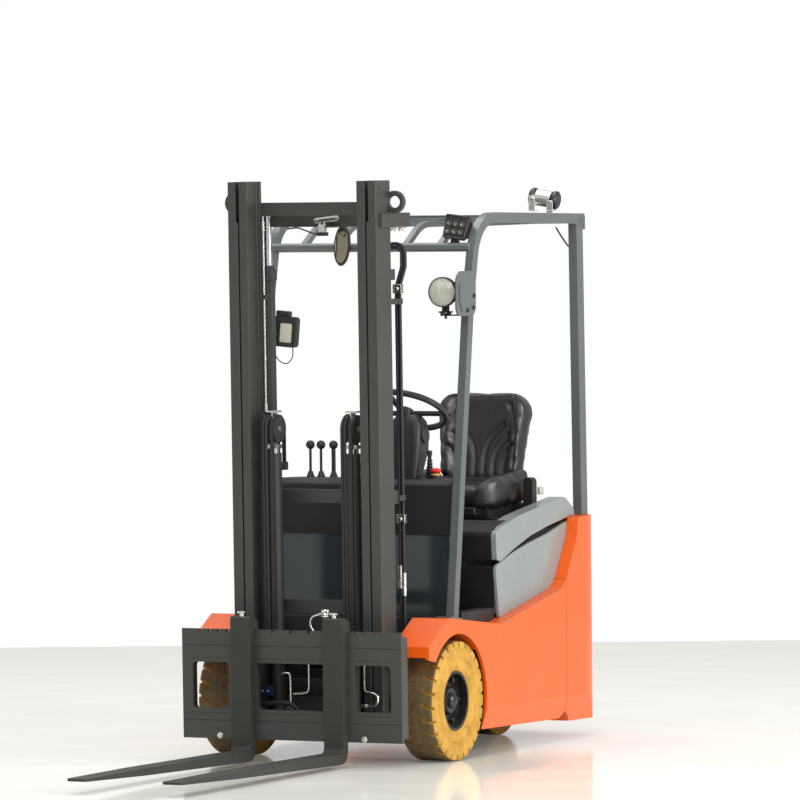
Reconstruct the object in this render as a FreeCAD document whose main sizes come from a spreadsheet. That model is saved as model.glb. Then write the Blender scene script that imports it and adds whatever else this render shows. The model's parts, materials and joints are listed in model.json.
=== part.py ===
import FreeCAD, Part
import math
import os
import re

# Electric three-wheel counterbalance forklift. Millimetres, +Z up, forks point to -Y,
# the driver's left is +X. Sketch coordinates start at the front axle's centre on the floor;
# the last step moves the origin to the centre of the footprint.

V = FreeCAD.Vector
doc = FreeCAD.newDocument("forklift")
sheet = doc.addObject("Spreadsheet::Sheet", "dims")

SIZES = (
    # wheels
    ("front_wheel_radius", 224, "front tyre, outer radius"),
    ("front_tyre_width", 150, "front tyre, width"),
    ("front_rim_radius", 112, "front tyre, seat on the rim"),
    ("tyre_gap", 32, "outer upright to front tyre"),
    ("rear_wheel_radius", 190, "rear tyre, outer radius"),
    ("rear_tyre_width", 106, "rear tyre, width"),
    ("rear_rim_radius", 100, "rear tyre, seat on the rim"),
    ("rear_wheel_x", 80, "rear tyre, middle plane from the middle"),
    ("wheelbase", 1135, "front axle to rear axle"),
    ("shaft_gap", 0.05, "radial running clearance of pins and shafts"),
    ("seat_gap", 0.3, "clearance between seated pieces"),
    # body
    ("outer_half", 306, "outer upright, outside face"),
    ("front_face", "=outer_half + tyre_gap + front_tyre_width", "front tyre, outer face from the middle"),
    ("half_width", "=front_face + 7", "body, half of the overall width"),
    ("tail", "=wheelbase + 256", "rear face of the counterweight from the front axle"),
    ("bay_rear", "=wheelbase - 175", "battery bay and wings, rear end"),
    ("tail_round", 250, "counterweight corner radius in plan"),
    ("skirt_low", 88, "lower edge of the body"),
    ("floor_top", 520, "driver's floor"),
    ("hood_half", "=half_width - 50", "hood and side covers, half width"),
    ("hood_front", 440, "hood, front face"),
    ("deck_top", 850, "hood deck under the seat"),
    ("lid_hinge_y", "=wheelbase + 30", "hood hinge, from the front axle"),
    ("lid_hinge_z", 868, "hood hinge, height"),
    ("arch_gap", 24, "wheel arch, clearance round the tyre"),
    ("battery_length", 590, "battery trough, across the truck"),
    ("battery_depth", "=bay_rear - hood_front - 106", "battery trough, along the truck"),
    ("battery_height", 600, "battery trough, height"),
    # overhead guard
    ("guard_half", "=half_width - 60", "guard, half width outside"),
    ("guard_top", 2035, "guard, top of the roof frame"),
    ("pillar_wide", 32, "front pillar, across the truck"),
    ("pillar_deep", 40, "front pillar and roof rail, depth"),
    ("rear_pillar_deep", 56, "rear pillar, along the truck"),
    ("bar_pitch", 143, "roof bars, middle to middle"),
    # mast
    ("mast_tilt", 0.8, "parked forward tilt, degrees"),
    ("mast_top", 2160, "closed mast height"),
    ("mast_foot", 105, "lower end of the uprights"),
    ("mast_front", -263, "front face of the uprights"),
    ("mast_depth", 122, "depth of the uprights"),
    ("outer_wide", 40, "outer upright, flange width"),
    ("inner_half", "=outer_half - 46", "inner upright, outside edge"),
    ("inner_wide", 33, "inner upright, flange width"),
    ("flange", 18, "upright flange thickness"),
    ("web", 13, "upright web thickness"),
    ("pivot_y", -92, "mast pivot, from the front axle"),
    ("pivot_z", 224, "mast pivot, height"),
    ("lift_x", "=outer_half - 68", "lift cylinder, middle"),
    ("lift_barrel", 27, "lift cylinder, outer radius"),
    ("lift_rod", 18, "lift cylinder, rod radius"),
    ("hose_radius", 6.5, "hydraulic hose, outer radius"),
    ("free_x", "=inner_half - 97", "free-lift cylinder, middle"),
    ("free_barrel", 27, "free-lift cylinder, outer radius"),
    ("free_rod", 17, "free-lift cylinder, rod radius"),
    ("sheave_radius", 45, "chain and hose sheaves, groove radius"),
    ("sheave_z", 1240, "sheaves, height with the carriage down"),
    # carriage and forks
    ("bar_half", 452, "fork bar, half width"),
    ("bar_front", -408, "fork bar, front face"),
    ("bar_thick", 33, "fork bar, thickness"),
    ("bar_low", 100, "fork bar, lower edge"),
    ("bar_high", 507, "fork bar, upper edge"),
    ("fork_x", 190, "fork, middle from the middle"),
    ("fork_wide", 80, "fork, width"),
    ("fork_thick", 38, "fork, thickness at the heel"),
    ("fork_length", 1280, "fork, blade length from the shank's face"),
    ("fork_low", 23, "fork, underside at the heel"),
    ("fork_rise", 48, "fork, rise of the underside to the tip"),
    # driver's place
    ("driver_x", 100, "middle of the seat"),
    ("column_x", 112, "middle of the steering column"),
    ("wheel_y", 348, "steering wheel centre, from the front axle"),
    ("wheel_z", 1290, "steering wheel centre, height"),
    ("steer_radius", 155, "steering wheel, radius of the rim's middle"),
)
dim = {}
for row, (alias, value, note) in enumerate(SIZES, 1):
    sheet.set("A%d" % row, note)
    sheet.set("B%d" % row, str(value))
    sheet.setAlias("B%d" % row, alias)
doc.recompute()
for alias, value, note in SIZES:
    dim[alias] = float(sheet.get(alias))
D = type("Sizes", (), dim)


def expr(text):
    """The sheet's names in a formula, written as references to its cells."""
    return re.sub(r"[a-z]\w*", lambda m: "dims." + m.group() if m.group() in dim else m.group(), str(text))


def box(x0, x1, y0, y1, z0, z1):
    obj = doc.addObject("Part::Box", "box")
    for prop, low, high in (("Length", x0, x1), ("Width", y0, y1), ("Height", z0, z1)):
        obj.setExpression(prop, expr("(%s) - (%s)" % (high, low)))
    for axis, low in (("x", x0), ("y", y0), ("z", z0)):
        obj.setExpression("Placement.Base." + axis, expr(low))
    return obj


TURN = {
    "x": FreeCAD.Rotation(V(0, 1, 0), 90),
    "y": FreeCAD.Rotation(V(1, 0, 0), -90),
    "z": FreeCAD.Rotation(),
}


def cyl(axis, x, y, z, radius, length, cone=None):
    """A cylinder, or a cone to the second radius, from its start point along +axis."""
    obj = doc.addObject("Part::Cylinder" if cone is None else "Part::Cone", "round")
    if cone is None:
        obj.setExpression("Radius", expr(radius))
    else:
        obj.setExpression("Radius1", expr(radius))
        obj.setExpression("Radius2", expr(cone))
    obj.setExpression("Height", expr(length))
    obj.Placement = FreeCAD.Placement(V(), TURN[axis])
    for name, value in (("x", x), ("y", y), ("z", z)):
        obj.setExpression("Placement.Base." + name, expr(value))
    return obj


def outline(points):
    """Lines through (u, v) points; a third number rounds that corner with an arc."""
    count = len(points)
    ends = []
    for i, point in enumerate(points):
        here = V(point[0], point[1], 0)
        radius = point[2] if len(point) > 2 else 0
        if not radius:
            ends.append((here, None, here))
            continue
        before = (V(points[i - 1][0], points[i - 1][1], 0) - here).normalize()
        after = (V(points[(i + 1) % count][0], points[(i + 1) % count][1], 0) - here).normalize()
        half = before.getAngle(after) / 2
        reach = radius / math.tan(half)
        centre = here + (before + after).normalize() * (radius / math.sin(half))
        middle = centre + (here - centre).normalize() * radius
        ends.append((here + before * reach, middle, here + after * reach))
    edges = []
    for i, (start, middle, end) in enumerate(ends):
        if middle is not None:
            edges.append(Part.Arc(start, middle, end))
        following = ends[(i + 1) % count][0]
        if end.distanceToPoint(following) > 1e-6:
            edges.append(Part.LineSegment(end, following))
    return edges


PLANES = {
    "x": FreeCAD.Rotation(V(0, 1, 0), V(0, 0, 1), V(1, 0, 0), "XYZ"),
    "y": FreeCAD.Rotation(V(1, 0, 0), V(0, 0, 1), V(0, -1, 0), "XYZ"),
    "z": FreeCAD.Rotation(),
}


def sketch(axis, points, at=0):
    """A closed sketch on the plane across the axis: (y, z), (x, z) or (x, y) points."""
    obj = doc.addObject("Sketcher::SketchObject", "outline")
    for edge in outline(points):
        obj.addGeometry(edge, False)
    obj.Placement = FreeCAD.Placement(V(), PLANES[axis])
    obj.setExpression("Placement.Base." + axis, expr(at))
    return obj


def prism(axis, points, low, high):
    """A body with one pad between two heights along the axis."""
    body = doc.addObject("PartDesign::Body", "prism")
    profile = sketch(axis, points, high if axis == "y" else low)
    body.addObject(profile)
    pad = body.newObject("PartDesign::Pad", "pad")
    pad.Profile = profile
    pad.setExpression("Length", expr("(%s) - (%s)" % (high, low)))
    return body


def revolve(axis, points, x, y, z):
    """A body of (along, radius) points turned about an axis through x, y, z."""
    frames = {
        "x": FreeCAD.Rotation(V(1, 0, 0), V(0, 1, 0), V(0, 0, 1), "XYZ"),
        "y": FreeCAD.Rotation(V(0, 1, 0), V(0, 0, 1), V(1, 0, 0), "XYZ"),
        "z": FreeCAD.Rotation(V(0, 0, 1), V(1, 0, 0), V(0, 1, 0), "XYZ"),
    }
    body = doc.addObject("PartDesign::Body", "turned")
    profile = doc.addObject("Sketcher::SketchObject", "profile")
    for edge in outline(points):
        profile.addGeometry(edge, False)
    profile.Placement = FreeCAD.Placement(V(), frames[axis])
    body.addObject(profile)
    turning = body.newObject("PartDesign::Revolution", "revolution")
    turning.Profile = profile
    turning.ReferenceAxis = (profile, ["H_Axis"])
    turning.Angle = 360
    for name, value in (("x", x), ("y", y), ("z", z)):
        body.setExpression("Placement.Base." + name, expr(value))
    return body


def pipe(points, radius):
    """A round bar or hose along straight runs; a fourth number rounds that corner with an arc."""
    edges = []
    start = V(*points[0][:3])
    for i in range(1, len(points)):
        here = V(*points[i][:3])
        if len(points[i]) < 4 or i == len(points) - 1:
            edges.append(Part.LineSegment(start, here).toShape())
            start = here
            continue
        before = (V(*points[i - 1][:3]) - here).normalize()
        after = (V(*points[i + 1][:3]) - here).normalize()
        half = before.getAngle(after) / 2
        reach = points[i][3] / math.tan(half)
        centre = here + (before + after).normalize() * (points[i][3] / math.sin(half))
        middle = centre + (here - centre).normalize() * points[i][3]
        edges.append(Part.LineSegment(start, here + before * reach).toShape())
        edges.append(Part.Arc(here + before * reach, middle, here + after * reach).toShape())
        start = here + after * reach
    path = doc.addObject("Part::Feature", "route")
    path.Shape = Part.Wire(edges)
    ring = doc.addObject("Part::Circle", "section")
    ring.setExpression("Radius", expr(radius))
    toward = V(*points[1][:3]) - V(*points[0][:3])
    ring.Placement = FreeCAD.Placement(V(*points[0][:3]), FreeCAD.Rotation(V(0, 0, 1), toward))
    obj = doc.addObject("Part::Sweep", "pipe")
    obj.Sections = [ring]
    obj.Spine = (path, [])
    obj.Solid = True
    obj.Frenet = False
    return obj


def fuse(*parts):
    parts = [p for part in parts for p in (part if isinstance(part, (list, tuple)) else [part])]
    if len(parts) == 1:
        return parts[0]
    obj = doc.addObject("Part::MultiFuse", "joined")
    obj.Shapes = parts
    obj.Refine = True
    return obj


def cut(base, *tools):
    obj = doc.addObject("Part::Cut", "cut")
    obj.Base = base
    obj.Tool = fuse(*tools)
    return obj


def common(first, second):
    obj = doc.addObject("Part::Common", "common")
    obj.Base = first
    obj.Tool = second
    return obj


def mirrored(part):
    """The same piece on the truck's other side."""
    obj = doc.addObject("Part::Mirroring", "mirrored")
    obj.Source = part
    obj.Base = V()
    obj.Normal = V(1, 0, 0)
    return obj


def pair(part):
    return [part, mirrored(part)]


def clone(part, dx, dy=0, dz=0):
    """A copy moved by formulas."""
    obj = doc.addObject("Part::Compound", "copy")
    obj.Links = [part]
    for name, value in (("x", dx), ("y", dy), ("z", dz)):
        obj.setExpression("Placement.Base." + name, expr(value))
    return obj


def turned(part, axis, angle, place):
    """A copy turned about the origin, then moved to its place."""
    obj = doc.addObject("Part::Compound", "placed")
    obj.Links = [part]
    obj.Placement = FreeCAD.Placement(place, FreeCAD.Rotation(axis, angle))
    return obj


def band(points, width, radii):
    """Outline of a bar of constant width along a bent centre line."""
    left, right = [], []
    last = len(points) - 1
    for i, point in enumerate(points):
        here = V(point[0], point[1], 0)
        ahead = V(*points[min(i + 1, last)], 0) - here if i < last else None
        behind = here - V(*points[i - 1], 0) if i > 0 else None
        one = (ahead or behind).normalize()
        two = (behind or ahead).normalize()
        normal = V(-one.y - two.y, one.x + two.x, 0).normalize()
        stretch = width / 2 / normal.dot(V(-one.y, one.x, 0))
        radius = radii[i]
        turn = two.x * one.y - two.y * one.x
        if radius:
            wide, narrow = radius + width / 2, radius - width / 2
            left.append((*(here + normal * stretch)[:2], narrow if turn > 0 else wide))
            right.append((*(here - normal * stretch)[:2], wide if turn > 0 else narrow))
        else:
            left.append(tuple((here + normal * stretch)[:2]))
            right.append(tuple((here - normal * stretch)[:2]))
    return left + right[::-1]


NODES = []
tilt = math.radians(D.mast_tilt)
TILT_Z = 150.0
tip = D.bar_front - D.seat_gap - D.fork_thick - D.fork_length
tip_top = D.fork_low + D.fork_rise + 10
tip_y = tip * math.cos(tilt) - (tip_top - TILT_Z) * math.sin(tilt)
shift = -(tip_y + D.tail) / 2
TRUCK = FreeCAD.Placement(V(0, shift, 0), FreeCAD.Rotation())
lean = FreeCAD.Placement(V(), FreeCAD.Rotation(V(1, 0, 0), D.mast_tilt), V(0, 0, TILT_Z))
MAST = TRUCK.multiply(lean)


def node(label, *parts, at=TRUCK):
    """One named piece of the truck, put in place."""
    obj = doc.addObject("Part::Compound", "piece")
    obj.Links = [p for part in parts for p in (part if isinstance(part, (list, tuple)) else [part])]
    obj.Label = label
    obj.Placement = at
    NODES.append(obj)
    return obj


# Front axle and wheels

AXLE_Z = D.front_wheel_radius
hub_in = D.front_face - D.front_tyre_width
frame_x = D.outer_half - 6
half_tyre = D.front_tyre_width / 2
tyre = revolve("x", (
    (-half_tyre, D.front_rim_radius + 14, 6), (-half_tyre, D.front_wheel_radius - 16, 14),
    (-half_tyre + 16, D.front_wheel_radius, 5), (half_tyre - 16, D.front_wheel_radius, 5),
    (half_tyre, D.front_wheel_radius - 16, 14), (half_tyre, D.front_rim_radius + 14, 6),
    (half_tyre - 12, D.front_rim_radius), (-half_tyre + 12, D.front_rim_radius),
), "front_face - front_tyre_width / 2", 0, "front_wheel_radius")
rim_seat = D.front_rim_radius - D.seat_gap
rim_profile = (
    (-half_tyre + 12, rim_seat - 10), (-half_tyre + 12, rim_seat), (half_tyre - 12, rim_seat),
    (half_tyre - 12, rim_seat - 10), (half_tyre - 46, rim_seat - 14), (half_tyre - 46, 56),
    (half_tyre - 30, 46), (half_tyre - 30, 30, 6), (half_tyre - 22, 24), (half_tyre - 22, 0),
    (half_tyre - 74, 0), (half_tyre - 74, rim_seat - 14),
)
rim = revolve("x", rim_profile, "front_face - front_tyre_width / 2", 0, "front_wheel_radius")
rim = cut(rim, cyl("x", "front_face - front_tyre_width", 0, "front_wheel_radius", "28 + shaft_gap", 108))
node("front_tyre_left", tyre)
node("front_tyre_right", mirrored(tyre))
node("front_rim_left", rim)
node("front_rim_right", mirrored(rim))

axle = fuse(
    cyl("x", "-(front_face - front_tyre_width - 30)", 0, "front_wheel_radius", 42,
        "2 * (front_face - front_tyre_width - 30)"),
    cyl("x", "-(front_face - 48)", 0, "front_wheel_radius", 28, "2 * (front_face - 48)"),
)

# Chassis: side plates that carry the axle, the mast and the floor

plate = prism("x", (
    (-122, 262, 20), (-122, 186, 20), (-60, skirt := D.skirt_low + 20, 20), (D.bay_rear + 39.7, skirt),
    (D.bay_rear + 39.7, 480), (430, 480), (170, D.floor_top), (40, D.floor_top, 30), (-60, 300, 30),
), frame_x, frame_x + 14)
floor = box(-frame_x - 1, frame_x + 1, 128, "hood_front - seat_gap", "floor_top - 10", "floor_top")
belly = box(-frame_x - 1, frame_x + 1, 300, "bay_rear - 75", skirt, skirt + 12)
front_plate = cut(box(-frame_x - 1, frame_x + 1, 128, 140, 200, "floor_top - 5"), pair(box(125, 217, 100, 160, 320, 460)))
bracket = box(145, 157, 308, 370, 300, "floor_top - 5")
pivot_at = lean.multVec(V(0, D.pivot_y, D.pivot_z))
pivot_pin = cyl("x", 225, pivot_at.y, pivot_at.z, 20, frame_x + 10 - 225)
anchor_pin = cyl("x", 145, 330, 330, 12, 52)
chassis = fuse(axle, pair(plate), floor, belly, front_plate, pair(fuse(bracket, clone(bracket, 40))),
               pair(pivot_pin), pair(anchor_pin))
node("chassis_frame", chassis)

# Battery trough

node("battery", box("-battery_length / 2", "battery_length / 2", "hood_front + 30", "hood_front + 30 + battery_depth",
                    skirt + 12 + 0.3, "%s + battery_height" % (skirt + 12)))

# Orange wings: fender over the front wheel, step and skirt in one piece

wing_low = D.skirt_low
wing_in = D.outer_half + 39
side_face = prism("x", (
    (-265, 392), (-265, 440), (-90, 537, 30), (365, 487, 60), (D.bay_rear - 70, 585), (D.bay_rear - 35, 598),
    (D.bay_rear - 4, 622), (D.bay_rear - 4, 115), (D.bay_rear - 60, wing_low + 2), (200, wing_low + 14), (-200, 380),
), wing_in, "half_width")
wing = cut(
    side_face,
    cyl("x", wing_in - 10, -14, "front_wheel_radius", "front_wheel_radius + arch_gap + 2", 180),
    box(wing_in - 10, "half_width - 14", -400, 0, 0, 400),
    prism("x", (
        (160, 60), (160, 470), (370, 472), (D.bay_rear - 70, 568), (D.bay_rear + 10, 568), (D.bay_rear + 10, 60),
    ), wing_in - 10, "half_width - 14"),
    prism("y", ((D.half_width + 1, 172), (D.half_width + 1, 60), (D.half_width - 16, 60), (D.half_width - 0.5, 172)),
          150, D.bay_rear + 1),
)
node("wings", pair(wing))

# Side covers of the battery bay

rear = D.bay_rear
lid_long = D.lid_hinge_y - D.hood_front


def on_lid(share):
    """A place along the lid, from the hood's front to its hinge."""
    return D.hood_front + share * lid_long


cover = prism("x", (
    (D.hood_front + 15, 504.3, 6), (D.hood_front - 15, 700, 30), (on_lid(0.041), 712), (on_lid(0.2), 745),
    (on_lid(0.41), 775), (on_lid(0.63), 800), (on_lid(0.84), 834), (on_lid(0.979), 850.5),
    (rear + 50, 622.4), (rear - 4, 622.4), (rear - 35, 598.4), (rear - 70, 585.4),
), "hood_half - 12", "hood_half")
node("side_covers", pair(cover))

# Counterweight: plan outline and side outline crossed, with the well of the drive wheels

tail = D.tail
plan = prism("z", (
    (-D.half_width, rear), (D.half_width, rear), (D.half_width, tail, D.tail_round),
    (-D.half_width, tail, D.tail_round),
), "skirt_low - 20", 900)
side = prism("x", (
    (rear, 115), (rear + 30, D.skirt_low), (rear + 40, D.skirt_low - 14), (tail - 122, D.skirt_low - 18),
    (tail - 106, 128, 10), (tail, 205, 30), (tail, 420, 200), (tail - 46, 856, 20), (rear + 122, 856),
    (rear + 102, 778, 50), (rear + 15, 648, 50), (rear, 626),
), "-half_width", "half_width")
swing = math.hypot(D.rear_wheel_x + D.rear_tyre_width / 2, D.rear_wheel_radius) + 9
well = fuse(
    cyl("z", 0, "wheelbase", 0, swing, 470),
    box(-swing, swing, "bay_rear - 10", "wheelbase", 0, 470),
    box("-hood_half + 14", "hood_half - 14", "bay_rear - 10", "bay_rear + 40", 100, 900),
    box("-hood_half - seat_gap", "hood_half + seat_gap", "bay_rear - 10", "lid_hinge_y - 1", 560, 950),
    cyl("z", 0, "wheelbase", 460, 96, 190),
)
tuck = prism("y", ((D.half_width + 1, 172), (D.half_width + 1, 60), (D.half_width - 16, 60), (D.half_width - 0.5, 172)),
             rear - 1, tail)
hinge_post = fuse(
    box("hood_half - 60", "hood_half - 46", "lid_hinge_y - 8", "lid_hinge_y + 20", 845, "lid_hinge_z + 9"),
    cyl("x", "hood_half - 60", "lid_hinge_y", "lid_hinge_z", 6, 46),
)
node("counterweight", fuse(cut(common(plan, side), well, pair(tuck)), pair(hinge_post)))

# Overhead guard: bent front pillars that run on as roof rails, rear pillars, roof bars

roof_z = D.guard_top - 19
post = D.bay_rear + 280
pillar_line = ((96, 522), (262, 1720), (330, roof_z), (post + 50, roof_z - 12))
rail = prism("x", band(pillar_line, D.pillar_deep, (0, 900, 170, 0)), "guard_half - pillar_wide", "guard_half")
rear_pillar = prism("x", (
    (post, 857), (post + D.rear_pillar_deep, 857), (post + D.rear_pillar_deep - 24, 1985), (post - 24, 1985),
), "guard_half - 36", "guard_half")
corner = box("guard_half - pillar_wide", "guard_half", post - 16, post + 56, 1962, roof_z)
window = box("guard_half - 4", "guard_half + 1", post - 8, post + 48, 1970, 2014)
rear_beam = box("-guard_half + 30", "guard_half - 30", post + 10, post + 46, "guard_top - 50", "guard_top - 14")
front_beam = cyl("x", "-guard_half + 20", 290, 1905, 17, "2 * guard_half - 40")
roof_bar = prism("x", band(((290, 1905), (430, 1990), (post + 20, 1998)), 22, (0, 200, 0)), -11, 11)
bars = [clone(roof_bar, "%d * bar_pitch" % k) for k in (-2, -1, 0, 1, 2)]
feet = prism("x", ((50, 521.9), (150, 510.9), (150, 522), (50, 533)), "guard_half - 60", "guard_half")
roof_plate = box("-guard_half + 30", "guard_half - 30", post - 380, post + 12, 2005, 2009)
node("overhead_guard", fuse(pair(rail), pair(rear_pillar), pair(cut(corner, window)), rear_beam, front_beam, bars,
                            pair(feet), roof_plate))

# Cowl between the front pillars

cowl_half = D.guard_half - 45
dash = common(
    prism("x", ((148, 830), (148, 1018, 14), (178, 1036, 20), (330, 1036, 12), (330, 830)), -cowl_half, cowl_half),
    prism("z", ((-cowl_half, 148), (cowl_half, 148), (cowl_half, 190, 20), (cowl_half - 90, 330, 20),
                (-cowl_half + 90, 330, 20), (-cowl_half, 190, 20)), 800, 1100),
)
node("cowl_top", dash)
node("dark_panels", box(-cowl_half + 6, cowl_half - 6, 152, 166, "floor_top", 829.7),
     box("-(hood_half - 12.3)", "hood_half - 12.3", "hood_front", "hood_front + 12", "floor_top + 0.3", 700))

# Steering column and wheel, hydraulic levers, stop button

column = prism("x", (
    (238, 1036.3), (322, 1036.3), (368, 1130, 60), (370, 1246.2), (299.4, 1283.8), (248, 1120, 60),
), "column_x - 50", "column_x + 50")
cap = cyl("x", "column_x + 49", 338, 1198, 22, 34)
node("steering_column", fuse(column, cap))
axis_tilt = 28.0
ring = doc.addObject("Part::Torus", "rim")
ring.setExpression("Radius1", expr("steer_radius"))
ring.Radius2 = 12
wheel_hub = cyl("z", 0, 0, -28, 30, 30)
spokes = fuse(box(-10, 10, "-steer_radius + 5", 0, -20, -8), box("-steer_radius + 5", "steer_radius - 5", -10, 10, -20, -8))
grip = fuse(cyl("z", "steer_radius * 0.87", "steer_radius * 0.5", 4, 6, 20), cyl("z", "steer_radius * 0.87", "steer_radius * 0.5", 20, 15, 26, 20))
wheel = turned(fuse(ring, wheel_hub, spokes, grip), V(1, 0, 0), -axis_tilt, V(D.column_x, D.wheel_y, D.wheel_z))
node("steering_wheel", wheel)
levers = []
for x, thick in ((-268, 5), (-223, 5), (-170, 8)):
    knob = doc.addObject("Part::Sphere", "knob")
    knob.Radius = 17
    knob.Placement.Base = V(x, 300, 1158)
    levers.append(fuse(cyl("z", x, 300, 1036.3, thick, 115), cyl("z", x, 300, 1036.3, 16, 22, 8), knob))
levers.append(fuse(cyl("z", 262, 290, 1036.3, 22, 12), cyl("z", 262, 290, 1048, 9, 8), cyl("z", 262, 290, 1055, 19, 10)))
node("levers", levers)

# Hood with the seat, hinged at the rear

lid_shape = prism("x", (
    (D.hood_front - 2, 725), (D.hood_front - 9, 827, 25), (on_lid(0.06), 848, 60), (on_lid(0.28), 882),
    (on_lid(0.85), 936, 60), (on_lid(0.965), 889, 20), (on_lid(0.98), 864.5), (on_lid(0.84), 850),
    (on_lid(0.63), 828), (on_lid(0.41), 798), (on_lid(0.2), 755), (on_lid(0.041), 716),
), "-hood_half", "hood_half")
lid_hollow = box("-hood_half + 14", "hood_half - 14", "hood_front + 12", "lid_hinge_y - 65", 690, "deck_top - 12")
recess = box("-hood_half + 60", "hood_half - 60", "hood_front + 120", "lid_hinge_y + 35", "deck_top", 1000)
arm = box("hood_half - 45", "hood_half - 17", "lid_hinge_y - 36", "lid_hinge_y", "lid_hinge_z - 6", "lid_hinge_z + 6")
knuckle = cyl("x", "hood_half - 45", "lid_hinge_y", "lid_hinge_z", 10, 28)
hinge_bore = cyl("x", "hood_half - 60", "lid_hinge_y", "lid_hinge_z", "6 + shaft_gap", 60)
lid = cut(fuse(cut(lid_shape, lid_hollow, recess), pair(arm), pair(knuckle)), pair(hinge_bore))
node("hood_lid", lid)
node("seat_base", fuse(
    box("driver_x - 215", "driver_x + 215", 700, 1070, "deck_top + 0.3", "deck_top + 18"),
    box("driver_x - 190", "driver_x + 190", 690, 1060, "deck_top + 17", "deck_top + 62"),
    box("driver_x + 170", "driver_x + 260", 905, 935, "deck_top + 30", "deck_top + 61"),
    prism("y", ((D.driver_x + 242, 904, 8), (D.driver_x + 282, 904, 8), (D.driver_x + 282, 1014, 18),
                (D.driver_x + 242, 1014, 18)), 900, 940),
))
node("seat_cushion", prism("x", (
    (650, D.deck_top + 62.3), (640, D.deck_top + 150, 40), (1060, D.deck_top + 120, 30), (1060, D.deck_top + 62.3),
), D.driver_x - 240, D.driver_x + 240))
node("seat_back", prism("x", (
    (1005, D.deck_top + 124.4), (1050, D.deck_top + 485, 36), (1124, D.deck_top + 485, 36), (1108, D.deck_top + 90, 20),
    (1060.4, D.deck_top + 90), (1060.4, D.deck_top + 124.4),
), D.driver_x - 205, D.driver_x + 205))

# Drive and steering unit under the counterweight

axle_z = D.rear_wheel_radius
half_rear = D.rear_tyre_width / 2
rear_tyre = revolve("x", (
    (-half_rear, D.rear_rim_radius + 10, 5), (-half_rear, D.rear_wheel_radius - 12, 10),
    (-half_rear + 12, D.rear_wheel_radius, 4), (half_rear - 12, D.rear_wheel_radius, 4),
    (half_rear, D.rear_wheel_radius - 12, 10), (half_rear, D.rear_rim_radius + 10, 5),
    (half_rear - 8, D.rear_rim_radius), (-half_rear + 8, D.rear_rim_radius),
), "rear_wheel_x", "wheelbase", "rear_wheel_radius")
rear_rim = revolve("x", (
    (-half_rear + 8, D.rear_rim_radius - D.seat_gap), (half_rear - 8, D.rear_rim_radius - D.seat_gap),
    (half_rear - 8, D.rear_rim_radius - 10), (half_rear - 40, D.rear_rim_radius - 14), (half_rear - 40, 40),
    (half_rear - 24, 30), (half_rear - 24, 0), (-half_rear + 8, 0),
), "rear_wheel_x", "wheelbase", "rear_wheel_radius")
node("rear_tyres", pair(rear_tyre))
axle_bore = cyl("x", -200, "wheelbase", "rear_wheel_radius", "22 + shaft_gap", 400)
node("rear_rims", pair(cut(rear_rim, axle_bore)))
gap = D.rear_wheel_x - half_rear - 10
drive = fuse(
    box(-gap, gap, "wheelbase - 80", "wheelbase + 80", "rear_wheel_radius - 60", 400),
    cyl("x", -gap, "wheelbase", "rear_wheel_radius", 80, 2 * gap),
    cyl("x", -110, "wheelbase", "rear_wheel_radius", 22, 220),
    cyl("z", 0, "wheelbase", 396, 150, 30),
    cyl("z", 0, "wheelbase", 426, 85, 200),
)
node("drive_unit", drive)
node("steer_bearing", cut(
    cyl("z", 0, "wheelbase", 430.3, 200, 39.4),
    cyl("z", 0, "wheelbase", 425, "85 + shaft_gap", 50),
))

# Mast: an outer and an inner stage of rolled uprights

top, foot = "mast_top", "mast_foot"
face = D.mast_front
back = D.mast_front + D.mast_depth
run_y = (face + back) / 2


def channel(outside, wide, web_at, web_thick):
    """One upright of a stage: flanges as wide as given, the web at a distance inside its edge."""
    x1, x0 = outside, outside - wide
    w1 = outside - web_at
    w0 = w1 - web_thick
    points = [(x0, face, 2), (x0, face + D.flange, 2), (w0, face + D.flange, 4), (w0, back - D.flange, 4)]
    points += [(x0, back - D.flange, 2), (x0, back, 2), (x1, back, 2)]
    if w1 < x1:
        points += [(x1, back - D.flange, 2), (w1, back - D.flange, 4), (w1, face + D.flange, 4)]
        points += [(x1, face + D.flange, 2)]
    points += [(x1, face, 2)]
    return prism("z", points, foot, top)


def roller(x0, x1, z, pin):
    """A guide roller between the flanges, on a pin that reaches back to its plate."""
    radius = D.mast_depth / 2 - D.flange - 0.5
    return fuse(cyl("x", x0, run_y, z, radius, x1 - x0), cyl("x", min(pin, x0), run_y, z, 14, abs(pin - x0) + 2))


lift_y = back + 63
outer = cut(channel(D.outer_half, D.outer_wide, 0, D.web),
            box("outer_half - outer_wide - 1", "outer_half - 31", face - 1, face + D.flange + 3, "mast_top - 150", "mast_top + 40"))
outer_bits = []
for low, high in ((150, 300), (415, 465), (960, 1010)):
    outer_bits.append(box("-outer_half + 30", "outer_half - 30", back + 43, back + 57, low, high))
    outer_bits += pair(box("outer_half - 32", "outer_half - 12", back - 1, back + 57, low, high))
tie_low, tie_high = "mast_top - 173", "mast_top - 122"
outer_bits.append(box("-outer_half - 12", "outer_half + 12", back + 129, back + 143, tie_low, tie_high))
outer_bits += pair(box("outer_half - 1", "outer_half + 12", face + 26, back + 143, tie_low, tie_high))
rings = [cyl("z", "lift_x", lift_y, low, "lift_barrel + 8", 40) for low in (420, 965, 1790)]
rings.append(box("lift_x - 27", "outer_half - 12", back + 35, lift_y + 28, 333, 345))
rings.append(box("outer_half - 32", "outer_half - 12", back - 1, back + 57, 333, 420))
rings.append(box("lift_x + lift_barrel", "outer_half - 12", back - 1, back + 57, 1790, 1830))
pivot = cyl("x", "outer_half - 84", "pivot_y", "pivot_z", 34, 66)
lug_y, lug_z = -56.0, 440.0
lug = fuse(cyl("x", 150, lug_y, lug_z, 24, 12), box(150, 162, back + 50, lug_y, lug_z - 24, lug_z + 24))
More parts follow.
